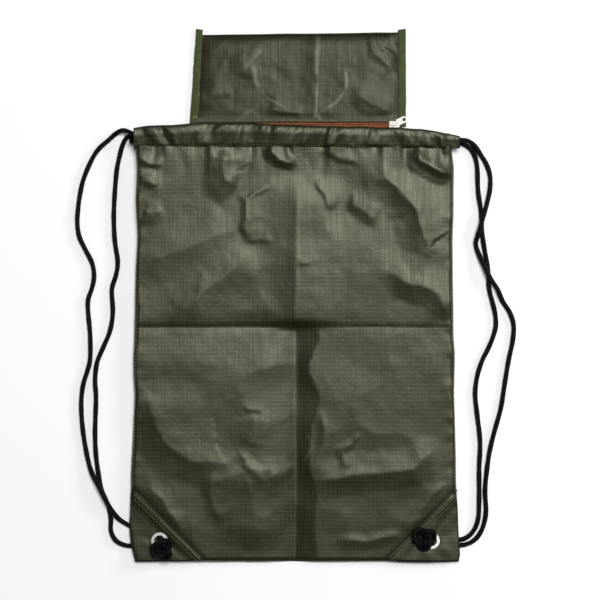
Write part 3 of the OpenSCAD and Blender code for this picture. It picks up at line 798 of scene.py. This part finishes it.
def channel(name, low, high, cord_y, crest, foot, ends, seed, node):
    """A flattened tube of cloth along X, with cross puckers where it is gathered."""
    count, around = 190, 30
    xs = np.linspace(ends[0], ends[1], count)
    t = 2 * np.pi * np.arange(around) / around
    crest_y, foot_y = crest(xs), foot(xs)
    top = crest_y + 0.45 * soft_noise(xs, xs * 0, 11, seed)
    bottom = foot_y + 0.9 * soft_noise(xs, xs * 0, 12, seed + 1)
    middle, half = (top + bottom) / 2, (top - bottom) / 2
    X = np.repeat(xs[:, None], around, 1)
    C = np.sign(np.cos(t)) * np.abs(np.cos(t)) ** 0.95
    S = np.sign(np.sin(t)) * np.abs(np.sin(t)) ** 0.85
    S = np.where(S > 0, (1 - np.abs(C) ** 10) ** 0.5, S)
    Y = middle[:, None] + half[:, None] * C[None, :]
    tall = (high - low) / 2
    Z = (low + high) / 2 + tall * S[None, :] * np.ones((count, 1))
    above = np.clip(S, 0, 1)[None, :]
    slope = 0.09 * np.clip(C - 0.3, 0, 1) + 0.16 * np.clip(0.3 - C, 0, 2)
    Z = Z - (slope[None, :] * half[:, None]) * above * (tall > 3.5)
    lean = 0.8 * (Y - cord_y) * soft_noise(X, Y * 0, 40, seed + 5)
    pucker = soft_noise(X + lean + 3 * soft_noise(X, Y, 16, seed + 2), Y, 7.0, seed + 3, 2.6)
    deep = soft_noise(X, Y * 0, 21, seed + 4)
    fine = soft_noise(X + 2 * lean, Y, 3.2, seed + 6, 2.5)
    Z = Z + above * (1.2 * pucker + 0.7 * deep + 0.35 * fine)
    clear = np.abs(Y - cord_y) < 5.2
    Z = np.where(clear & (S > 0)[None, :], np.maximum(Z, low + 5.4 + 0.3 * pucker), Z)
    Z = np.clip(Z, low - 0.2, high + 1.0)
    outer = np.stack([X, Y, Z], axis=-1).reshape(-1, 3)
    centre = np.stack(
        [X, np.repeat(middle[:, None], around, 1), np.full(X.shape, (low + high) / 2)], axis=-1
    ).reshape(-1, 3)
    inward = centre - outer
    inner = outer + inward * (0.5 / np.maximum(np.linalg.norm(inward, axis=1), 1.0))[:, None]
    total = count * around
    i = np.arange(total).reshape(count, around)
    n = np.roll(i, -1, axis=1)
    a, b, c, d = i[:-1].ravel(), n[:-1].ravel(), n[1:].ravel(), i[1:].ravel()
    faces = [np.column_stack([d, c, b, a]), np.column_stack([a, b, c, d]) + total]
    faces.append(np.column_stack([i[0], n[0], n[0] + total, i[0] + total])[:, ::-1])
    faces.append(np.column_stack([i[-1], n[-1], n[-1] + total, i[-1] + total]))
    faces = np.vstack(faces)
    girth = 2 * half.mean() + 6
    u = np.tile(outer[:, 0], 2) / 1000
    v = np.tile(np.tile(t / np.pi * girth, count), 2) / 1000
    uv = np.column_stack([u[faces.ravel()], v[faces.ravel()]])
    obj = mesh_object(name, np.vstack([outer, inner]), faces.tolist(), uv, [olive_cloth])
    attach(obj, "bag")
    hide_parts(node)


channel(
    "front_channel_cloth",
    10.1,
    17.6,
    158.7,
    lambda xs: np.interp(xs, CREST_X, CREST_Y),
    lambda xs: np.interp(xs, FOOT_X, FOOT_Y),
    (-163, 165.5),
    31,
    "front_channel",
)
channel(
    "back_channel_cloth",
    0.3,
    6.6,
    158.7,
    lambda xs: np.interp(xs, [-162, 100, 162], [168, 167.2, 160.8]),
    lambda xs: np.full(xs.shape, 149.0),
    (-162.5, 162.5),
    41,
    "back_channel",
)


# ---------------------------------------------------------------------------
# Corner reinforcements and eyelets
# A second triangle of cloth is sewn across each bottom corner, on the front
# and on the back, and a two-part metal eyelet is pressed through all layers.
# ---------------------------------------------------------------------------

olive_patch = cloth_material("ripstop_olive_patch", (0.0078, 0.0085, 0.0026), (0.022, 0.021, 0.008))


def corner_patch(side, upper, name, node):
    """A triangle of cloth just over the panel, or just under it at the back."""
    sign = -1 if side == "left" else 1
    count = 46
    a, b = np.meshgrid(np.linspace(0, 1, count), np.linspace(0, 1, count), indexing="ij")
    edge_y = -197 + a * (-268.6 + 197)
    edge_x = np.interp(edge_y, SIDE_Y, np.abs(LEFT_X) if sign < 0 else RIGHT_X) - 0.9
    inner_x = 164.5 - a * 71.5
    x = sign * (inner_x + b * (edge_x - inner_x))
    y = edge_y + 0 * b
    left, right = np.interp(y, SIDE_Y, LEFT_X), np.interp(y, SIDE_Y, RIGHT_X)
    if upper:
        z = front_surface(x, y, x - left, right - x) + 0.42
    else:
        z = 0.35 + 4.95 * corner_rise(x, y)
    if sign < 0:
        x, y, z = x[:, ::-1], y[:, ::-1], z[:, ::-1]
    patch = sheet(name, x[::-1], y[::-1], z[::-1], 0.3, olive_patch, x[::-1] + 1.7, y[::-1] + 0.9)
    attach(patch, "bag")
    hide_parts(node)


for side in ("left", "right"):
    corner_patch(side, True, f"corner_{side}_front_cloth", f"corner_patch_front_{side}")
    corner_patch(side, False, f"corner_{side}_back_cloth", f"corner_patch_back_{side}")

metal_tree, metal_in, metal_out = shader_group(
    "worn_metal",
    [("Place", VECTOR, None), ("Scratch", FLOAT, 900.0), ("Grime", FLOAT, 0.3)],
    [("Shade", FLOAT), ("Roughness", FLOAT), ("Height", FLOAT)],
)
add, calc = node_maker(metal_tree)
stretch = add("ShaderNodeVectorMath", Vector=metal_in.outputs["Place"])
stretch.operation = "MULTIPLY"
stretch.inputs[1].default_value = (1.0, 5.0, 1.0)
scratches = add(
    "ShaderNodeTexNoise",
    Vector=stretch.outputs[0],
    Scale=metal_in.outputs["Scratch"],
    Detail=3.0,
)
patches = add("ShaderNodeTexNoise", Vector=metal_in.outputs["Place"], Scale=260.0, Detail=2.0)
dirt = calc("MULTIPLY", patches.outputs["Fac"], metal_in.outputs["Grime"])
metal_tree.links.new(calc("SUBTRACT", 1.15, dirt), metal_out.inputs["Shade"])
metal_tree.links.new(
    calc("MULTIPLY_ADD", scratches.outputs["Fac"], 0.3, 0.18), metal_out.inputs["Roughness"]
)
metal_tree.links.new(scratches.outputs["Fac"], metal_out.inputs["Height"])


def metal_material(name, colour, metallic, grime, scratch=900.0):
    material, tree, shader, add, _ = principled(name, 0.3, 0.5, 0.0, metallic)
    place = add("ShaderNodeTexCoord")
    worn = tree.nodes.new("ShaderNodeGroup")
    worn.node_tree = metal_tree
    worn.inputs["Grime"].default_value = grime
    worn.inputs["Scratch"].default_value = scratch
    tree.links.new(place.outputs["Object"], worn.inputs["Place"])
    tree.links.new(tinted(tree, colour, worn.outputs["Shade"]), shader.inputs["Base Color"])
    tree.links.new(worn.outputs["Roughness"], shader.inputs["Roughness"])
    bumped(tree, add, shader, worn.outputs["Height"], 0.00005, 0.6)
    return material


def finish_cad(node, material, bevel):
    """The CAD piece itself, with eased edges and its own finish."""
    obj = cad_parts[node]
    obj.data.materials.clear()
    obj.data.materials.append(material)
    ease = obj.modifiers.new("eased_edges", "BEVEL")
    ease.width = bevel
    ease.segments = 2
    ease.limit_method = "ANGLE"
    ease.angle_limit = math.radians(35)
    ease.harden_normals = False


eyelet_metal = metal_material("eyelet_nickel", (0.72, 0.71, 0.68), 1.0, 0.4)
for side in ("left", "right"):
    finish_cad(f"eyelet_{side}", eyelet_metal, 0.00018)
    finish_cad(f"eyelet_washer_{side}", eyelet_metal, 0.00008)


# ---------------------------------------------------------------------------
# Stow pouch
# A flat pocket of the same cloth behind the hem, folded up out of the way.
# The whole bag packs into it. Its back is one piece with the bag's hem.
# ---------------------------------------------------------------------------

# The pouch's folds, and then its painted crease highlights, in the same terms as the front's.
POUCH_FOLDS = [
    ([(-32, 252), (-40, 244), (-48, 232), (-58, 218)], 0.8, 6, 9),
    ([(-45, 238), (-39, 224), (-36, 210)], 0.7, 3, 8),
    ([(-36, 209), (-21, 198), (-5, 187)], 0.5, 10, 4),
    ([(-30, 190), (-14, 185), (10, 184)], 1.0, 6, 4),
    ([(-92, 204), (-80, 202), (-64, 206)], 1.0, 9, 8),
    ([(21.5, 266), (21.8, 222), (20.8, 178)], 0.8, 4, 9),
    ([(49, 229), (51, 219), (49, 208)], 0.6, 3, 7),
    ([(48, 206), (40, 196), (27, 187)], 0.4, 6, 4),
    ([(56, 208), (74, 196), (100, 182)], 1.5, 13, 7),
    ([(92, 266), (94, 256), (106, 248)], 1.0, 2.5, 2.5),
    ([(83, 266), (86, 250), (106, 238)], 1.1, 3, 3),
    ([(73, 266), (78, 244), (106, 226)], 1.0, 5, 3),
    ([(-94, 240), (-80, 250), (-66, 264)], 0.6, 6, 6),
]

POUCH_CREASE_HIGHLIGHTS = [
    ([(-31, 252), (-38, 246), (-46, 236), (-55, 224)], 0.45, 1.8, 2.8),
    ([(-45, 236), (-41, 226), (-39, 216), (-36, 209)], 0.70, 1.7, 1.7),
    ([(-36, 209), (-29, 201), (-17, 194), (-5, 186)], 0.45, 0.9, 1.2),
    ([(23.5, 265), (22, 246), (21.5, 232), (23, 219)], 0.55, 1.5, 2.4),
    ([(22.5, 221), (21, 200), (19.5, 178)], 0.50, 1.2, 1.5),
    ([(49, 228), (51.6, 218), (50.4, 207)], 0.75, 1.6, 1.4),
    ([(49, 206), (40, 195), (27, 186.5)], 0.60, 1.1, 1.3),
    ([(76, 264), (84, 246), (94, 232), (105, 214)], 0.28, 2.2, 1.2),
    ([(82, 262), (89, 252), (92, 238)], 0.30, 1.6, 1.6),
    ([(96, 264), (99, 252), (106, 244)], 0.35, 1.6, 1.6),
    ([(58, 214), (76, 206), (100, 196)], 0.16, 5.0, 3.0),
    ([(-96, 196), (-82, 206), (-66, 210)], 0.14, 5.0, 4.0),
    ([(-58, 178), (-50, 186), (-40, 190)], 0.22, 1.4, 1.4),
    ([(17, 180), (22, 183), (26, 177)], 0.45, 1.6, 1.6),
]


def pouch_edges(y):
    t = (y - 170) / 97
    return -103.6 + 5.4 * t, 107.6 + 0.2 * t


rows, cols = 84, 190
v, u = np.meshgrid(np.linspace(0, 1, rows), np.linspace(0, 1, cols), indexing="ij")
left, right = pouch_edges(174 + 92 * v)
x = left + u * (right - left)
fold_y = 264.2 + (x + 100) / 208 * 2.6 + 0.5 * soft_noise(x, x * 0, 30, 51)
edge_y = np.interp(x, [-104, -60, -33, 4, 108], [174.6, 174.6, 174.8, 175.0, 175.0])
edge_y = edge_y + 0.25 * soft_noise(x, x * 0, 3.2, 50)
y = edge_y + v * (fold_y - edge_y)
side = np.minimum(x - left, right - x)
lift = (1 - np.exp(-side / 9)) * (1 - np.exp(-(fold_y - y) / 6))
wrinkles = np.zeros(x.shape)
bent_x, bent_y = warped(x, y, 15, 1.4, 66)
for points, height, width, lee in POUCH_FOLDS:
    wrinkles += fold_height(bent_x, bent_y, points, height, width, lee)
wrinkles += 0.4 * soft_noise(x, y, 34, 52) + 0.28 * soft_noise(x, y, 13, 53)
wrinkles += 0.12 * soft_noise(x, y, 6, 54)
wrinkles += 0.35 * soft_noise(x, y, 5, 55, 6) * np.exp(-(y - 174) / 7)
sewn = smooth_step((y - 177.2) / 9)
z = 1.5 + (2.2 + 1.9 * (y - 174) / 90 + wrinkles) * lift
z = np.clip(z, 1.25, 7.2)
z = 3.74 * (1 - sewn) + z * sewn
lapped = smooth_step((x - 88) / 8) * smooth_step((186 - y) / 8)
z = np.minimum(z, 5.0 * lapped + 6.0 * (1 - lapped))
# The pouch's cloth is the same ripstop, copied with a weaker specular: a duller copy that paints in the
# darker shade the pouch shows.
pouch_cloth = cloth_material(
    "ripstop_olive_pouch", (0.0085, 0.0090, 0.0030), (0.024, 0.023, 0.009), specular=0.24
)
pouch_front = sheet(
    "pouch_front_cloth", x, y, z, 0.22, pouch_cloth, crease_highlight=painted_crease_highlights(x, y, POUCH_CREASE_HIGHLIGHTS)
)
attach(pouch_front, "pouch")
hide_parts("pouch_front")

rows, cols = 60, 80
v, u = np.meshgrid(np.linspace(0, 1, rows), np.linspace(0, 1, cols), indexing="ij")
left, right = pouch_edges(166 + 100 * v)
x = left + u * (right - left)
fold_y = 264.2 + (x + 100) / 208 * 2.6
y = 166 + v * (fold_y - 166)
z = 0.5 + 0.12 * soft_noise(x, y, 20, 56)
pouch_back = sheet("pouch_back_cloth", x, y, z, 0.3, olive_inside)
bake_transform(pouch_back)
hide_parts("pouch_back")


# ---------------------------------------------------------------------------
# Side bindings
# A green woven tape folded over each side edge of the pouch and stitched. It
# stands a few millimetres past the pouch's top fold, where it was cut off.
# ---------------------------------------------------------------------------

tape_tree, tape_in, tape_out = shader_group(
    "woven_tape",
    [("Tape", VECTOR, None), ("Rib", FLOAT, 0.0011), ("Mottle", FLOAT, 0.6)],
    [("Shade", FLOAT), ("Height", FLOAT), ("Worn", FLOAT)],
)
add, calc = node_maker(tape_tree)
parts = add("ShaderNodeSeparateXYZ", Vector=tape_in.outputs["Tape"])
ribs = calc(
    "SINE",
    calc("MULTIPLY", calc("DIVIDE", parts.outputs["Y"], tape_in.outputs["Rib"]), 6.2832),
)
warp = calc(
    "SINE",
    calc("MULTIPLY", calc("DIVIDE", parts.outputs["X"], tape_in.outputs["Rib"]), 9.4248),
)
weave = calc("MULTIPLY_ADD", ribs, 0.35, calc("MULTIPLY_ADD", warp, 0.15, 0.5))
mottle = add("ShaderNodeTexNoise", Vector=tape_in.outputs["Tape"], Scale=190.0, Detail=4.0)
shade = calc(
    "MULTIPLY_ADD",
    calc("SUBTRACT", mottle.outputs["Fac"], 0.5),
    tape_in.outputs["Mottle"],
    calc("MULTIPLY_ADD", weave, 0.45, 0.78),
)
tape_tree.links.new(shade, tape_out.inputs["Shade"])
tape_tree.links.new(weave, tape_out.inputs["Height"])
fray = add("ShaderNodeTexNoise", Vector=tape_in.outputs["Tape"], Scale=120.0, Detail=5.0)
tape_tree.links.new(
    calc("MULTIPLY", calc("GREATER_THAN", fray.outputs["Fac"], 0.66), 0.6),
    tape_out.inputs["Worn"],
)


def tape_material(name, colour, worn_colour, rib, mottle):
    material, tree, shader, add, _ = principled(name, 0.75, 0.25, 0.2)
    where = add("ShaderNodeUVMap")
    woven = tree.nodes.new("ShaderNodeGroup")
    woven.node_tree = tape_tree
    woven.inputs["Rib"].default_value = rib
    woven.inputs["Mottle"].default_value = mottle
    tree.links.new(where.outputs["UV"], woven.inputs["Tape"])
    mix = tree.nodes.new("ShaderNodeMix")
    mix.data_type = "RGBA"
    tree.links.new(woven.outputs["Worn"], mix.inputs[0])
    tree.links.new(tinted(tree, colour, woven.outputs["Shade"]), mix.inputs[6])
    mix.inputs[7].default_value = worn_colour + (1,)
    tree.links.new(mix.outputs[2], shader.inputs["Base Color"])
    bumped(tree, add, shader, woven.outputs["Height"], 0.0003, 0.8)
    return material


green_tape = tape_material("binding_green", (0.050, 0.066, 0.019), (0.15, 0.18, 0.09), 0.0011, 1.2)


def binding(name, node, ends, lean_in, seed):
    """A folded tape. ends holds its (left, right) edges at the foot and at the top."""
    count, around = 70, 16
    t = 2 * np.pi * np.arange(around) / around
    ys = np.linspace(171.2, 269.6, count)
    f = (ys - ys[0]) / (ys[-1] - ys[0])
    left = ends[0][0] + f * (ends[1][0] - ends[0][0]) + 0.25 * soft_noise(ys, ys * 0, 7, seed)
    right = ends[0][1] + f * (ends[1][1] - ends[0][1]) + 0.35 * soft_noise(ys, ys * 0, 9, seed + 1)
    C = np.sign(np.cos(t)) * np.abs(np.cos(t)) ** 0.7
    S = np.sign(np.sin(t)) * np.abs(np.sin(t)) ** 0.6
    X = ((left + right) / 2)[:, None] + ((right - left) / 2)[:, None] * C[None, :]
    Y = np.repeat(ys[:, None], around, 1) + (0.6 * lean_in * C)[None, :] * (f > 0.98)[:, None]
    inside = (1 - lean_in * C) / 2
    Z = 1.9 + (1.45 + 0.75 * inside)[None, :] * S[None, :] * np.ones((count, 1))
    Z = Z + np.clip(S, 0, 1)[None, :] * 0.3 * soft_noise(X, Y, 6, seed + 2)
    Z = np.maximum(Z, 0.15)
    points = np.stack([X, Y, Z], axis=-1).reshape(-1, 3)
    ends_mid = [points[:around].mean(0), points[-around:].mean(0)]
    i = np.arange(count * around).reshape(count, around)
    n = np.roll(i, -1, axis=1)
    faces = np.column_stack([i[:-1].ravel(), i[1:].ravel(), n[1:].ravel(), n[:-1].ravel()]).tolist()
    u = (np.repeat((t / (2 * np.pi))[None, :] * 17, count, 0)).ravel() / 1000
    v = Y.ravel() / 1000
    uv = [(u[k], v[k]) for face in faces for k in face]
    for k in range(around):
        m = (k + 1) % around
        faces.append([k, m, count * around])
        faces.append([(count - 1) * around + m, (count - 1) * around + k, count * around + 1])
        uv += [(u[k], v[0])] * 3 + [(u[k], v[-1])] * 3
    obj = mesh_object(name, np.vstack([points, ends_mid]), faces, uv, [green_tape])
    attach(obj, "pouch")
    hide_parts(node)


binding("left_binding_tape", "binding_left", ((-107.4, -98.8), (-100.8, -93.8)), -1, 61)
binding("right_binding_tape", "binding_right", ((103.4, 112.2), (103.6, 111.6)), 1, 71)


# ---------------------------------------------------------------------------
# Zip
# A rust orange coil zip along the pouch's lower edge: two woven tapes, a coil
# on each, end stops, and a white metal slider whose pull tab has two holes.
# ---------------------------------------------------------------------------

rust_tape = tape_material("zip_tape_rust", (0.30, 0.085, 0.030), (0.36, 0.13, 0.06), 0.0007, 0.7)


def strip(name, node, section, seed):
    """A tape along X from a section: (y, z) points from its lower edge to its upper one."""
    count = 150
    section = np.array(section, float)
    xs = np.linspace(-93.4, 105.4, count)
    x = np.repeat(xs[None, :], len(section), 0)
    y = np.repeat(section[:, :1], count, 1)
    z = np.repeat(section[:, 1:], count, 1) + 0.09 * soft_noise(x, y, 4, seed, 3)
    obj = sheet(name, x, y, z, 0.45, rust_tape)
    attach(obj, "pouch")
    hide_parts(node)


strip("upper_zip_tape", "zip_tape_upper", [(173.6, 3.28), (175, 3.3), (178, 3.3), (180.8, 3.2)], 81)
strip("lower_zip_tape", "zip_tape_lower", [(168.9, 1.6), (169.3, 2.9), (170.2, 3.28), (172.2, 3.28)], 82)


def node_group_modifier(obj, tree, values):
    """Adds a geometry node modifier with the named inputs set."""
    modifier = obj.modifiers.new(tree.name, "NODES")
    modifier.node_group = tree
    for item in tree.interface.items_tree:
        if item.item_type == "SOCKET" and item.in_out == "INPUT" and item.name in values:
            modifier[item.identifier] = values[item.name]


def row_tree():
    """Rows of one small rounded shape along lines: stitches, or the turns of a zip coil."""
    tree = bpy.data.node_groups.new("row_of_shapes", "GeometryNodeTree")
    wanted = [
        ("Geometry", "NodeSocketGeometry"),
        ("Pitch", FLOAT),
        ("Length", FLOAT),
        ("Width", FLOAT),
        ("Height", FLOAT),
        ("Turn", FLOAT),
        ("Material", "NodeSocketMaterial"),
    ]
    for name, kind in wanted:
        tree.interface.new_socket(name, in_out="INPUT", socket_type=kind)
    tree.interface.new_socket("Geometry", in_out="OUTPUT", socket_type="NodeSocketGeometry")
    start, end = tree.nodes.new("NodeGroupInput"), tree.nodes.new("NodeGroupOutput")
    link = tree.links.new
    curve = tree.nodes.new("GeometryNodeMeshToCurve")
    link(start.outputs["Geometry"], curve.inputs[0])
    spaced = tree.nodes.new("GeometryNodeResampleCurve")
    spaced.mode = "LENGTH"
    link(curve.outputs[0], spaced.inputs["Curve"])
    link(start.outputs["Pitch"], spaced.inputs["Length"])
    tangent = tree.nodes.new("GeometryNodeInputTangent")
    aim = tree.nodes.new("FunctionNodeAlignRotationToVector")
    aim.axis = "X"
    link(tangent.outputs[0], aim.inputs["Vector"])
    spin = tree.nodes.new("FunctionNodeRotateRotation")
    spin.rotation_space = "LOCAL"
    amount = tree.nodes.new("ShaderNodeCombineXYZ")
    link(start.outputs["Turn"], amount.inputs["Z"])
    euler = tree.nodes.new("FunctionNodeEulerToRotation")
    link(amount.outputs[0], euler.inputs[0])
    link(aim.outputs[0], spin.inputs["Rotation"])
    link(euler.outputs[0], spin.inputs["Rotate By"])
    shape = tree.nodes.new("GeometryNodeMeshIcoSphere")
    shape.inputs["Radius"].default_value = 0.5
    shape.inputs["Subdivisions"].default_value = 2
    size = tree.nodes.new("ShaderNodeCombineXYZ")
    for socket, axis in (("Length", "X"), ("Width", "Y"), ("Height", "Z")):
        link(start.outputs[socket], size.inputs[axis])
    placed = tree.nodes.new("GeometryNodeInstanceOnPoints")
    link(spaced.outputs[0], placed.inputs["Points"])
    link(shape.outputs["Mesh"], placed.inputs["Instance"])
    link(spin.outputs[0], placed.inputs["Rotation"])
    link(size.outputs[0], placed.inputs["Scale"])
    real = tree.nodes.new("GeometryNodeRealizeInstances")
    link(placed.outputs[0], real.inputs[0])
    painted = tree.nodes.new("GeometryNodeSetMaterial")
    link(real.outputs[0], painted.inputs["Geometry"])
    link(start.outputs["Material"], painted.inputs["Material"])
    link(painted.outputs[0], end.inputs[0])
    return tree


ROW_TREE = row_tree()


def row(name, lines_mm, body, pitch, size, turn, material, covers=()):
    """One mesh of shapes spaced along lines of points. size is (length, width, height)."""
    points, edges = [], []
    for line in lines_mm:
        first = len(points)
        points += [tuple(np.asarray(p, float) / 1000) for p in line]
        edges += [(k, k + 1) for k in range(first, len(points) - 1)]
    guide_mesh = bpy.data.meshes.new(name + "_guide")
    guide_mesh.from_pydata(points, edges, [])
    guide = bpy.data.objects.new(name + "_guide", guide_mesh)
    bpy.context.collection.objects.link(guide)
    node_group_modifier(
        guide,
        ROW_TREE,
        {
            "Pitch": pitch / 1000,
            "Length": size[0] / 1000,
            "Width": size[1] / 1000,
            "Height": size[2] / 1000,
            "Turn": turn,
            "Material": material,
        },
    )
    bpy.context.view_layer.update()
    graph = bpy.context.evaluated_depsgraph_get()
    mesh = bpy.data.meshes.new_from_object(guide.evaluated_get(graph))
    mesh.name = name
    bpy.data.objects.remove(guide)
    bpy.data.meshes.remove(guide_mesh)
    if not mesh.materials:
        mesh.materials.append(material)
    mesh.polygons.foreach_set("use_smooth", [True] * len(mesh.polygons))
    obj = bpy.data.objects.new(name, mesh)
    bpy.context.collection.objects.link(obj)
    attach(obj, body)
    if covers:
        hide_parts(*covers)


coil_material, tree, shader, add, calc = principled("zip_coil_rust", 0.45, 0.5)
place = add("ShaderNodeTexCoord")
speck = add("ShaderNodeTexNoise", Vector=place.outputs["Object"], Scale=700.0, Detail=2.0)
tree.links.new(
    tinted(tree, (0.33, 0.095, 0.034), calc("MULTIPLY_ADD", speck.outputs["Fac"], 0.7, 0.6)),
    shader.inputs["Base Color"],
)
bumped(tree, add, shader, speck.outputs["Fac"], 0.0001, 0.5)
for side, y, turn in (("upper", 173.85, 1.45), ("lower", 171.95, 1.69)):
    row(
        f"{side}_zip_coil",
        [[(-92, y, 3.2), (103, y, 3.2)]],
        "pouch",
        1.25,
        (2.1, 0.85, 1.35),
        turn,
        coil_material,
        (f"zip_coil_{side}",),
    )

white_metal = metal_material("slider_white", (0.70, 0.68, 0.63), 0.0, 0.35)
finish_cad("zip_stops", white_metal, 0.00012)
finish_cad("slider", white_metal, 0.00022)
finish_cad("pull_tab", white_metal, 0.00028)


# ---------------------------------------------------------------------------
# Stitching
# Khaki thread: along the foot of the front hem channel, down the side seams,
# across the reinforced corners and along the pouch's zip.
# ---------------------------------------------------------------------------

thread_material, tree, shader, add, calc = principled("thread_khaki", 0.7, 0.3, 0.1)
place = add("ShaderNodeTexCoord")
twist = add("ShaderNodeTexNoise", Vector=place.outputs["Object"], Scale=1100.0, Detail=1.0)
tree.links.new(
    tinted(tree, (0.21, 0.18, 0.06), calc("MULTIPLY_ADD", twist.outputs["Fac"], 0.9, 0.5)),
    shader.inputs["Base Color"],
)
bumped(tree, add, shader, twist.outputs["Fac"], 0.0001, 0.5)


def seam_on_front(points, above):
    """A line of points 2 mm apart on the front panel, from a few given (x, y)."""
    p = np.array(points, float)
    flat = curve_through(np.column_stack([p, np.zeros(len(p))]), 2.0)
    z = on_front(flat[:, 0], flat[:, 1])
    return [(a, b, c + above) for a, b, c in zip(flat[:, 0], flat[:, 1], z)]


hem_x = np.arange(-158, 162, 2.0)
hem_y = np.interp(hem_x, FOOT_X, FOOT_Y) + 1.2 + 0.9 * soft_noise(hem_x, hem_x * 0, 12, 32)
hem_seam = [(a, b, 15.55) for a, b in zip(hem_x, hem_y)]
side_seams = [
    seam_on_front(
        [(-158.4, 140), (-158.0, 100), (-157.4, 40), (-160.4, -40), (-163, -150), (-164, -190)], 0.1
    ),
    seam_on_front(
        [(157.6, 136), (157.2, 100), (156.6, 40), (157.5, -40), (158.8, -150), (160, -190)], 0.1
    ),
]
corner_seams = []
for sign in (-1, 1):
    for inset in (1.6, 6.5):
        ends = [(sign * (163.2 - inset * 0.2), -200 - inset), (sign * (94 + inset), -268.2 + inset * 0.1)]
        middle = tuple((a + b) / 2 for a, b in zip(*ends))
        corner_seams.append(seam_on_front([ends[0], middle, ends[1]], 0.5))
pouch_seam = [(x, 177.5, 3.92) for x in np.arange(-90, 94, 3.0)]

# Each row's name, seams and body, then the pitch and the size of its stitches.
STITCHING = [
    ("bag_stitching", [hem_seam] + side_seams, "bag", 3.4, (2.3, 0.42, 0.34)),
    ("corner_stitching", corner_seams, "bag", 3.0, (2.1, 0.5, 0.4)),
    ("pouch_stitching", [pouch_seam], "pouch", 3.2, (2.0, 0.34, 0.24)),
]
for name, seams, body, pitch, size in STITCHING:
    row(name, seams, body, pitch, size, 0.0, thread_material)
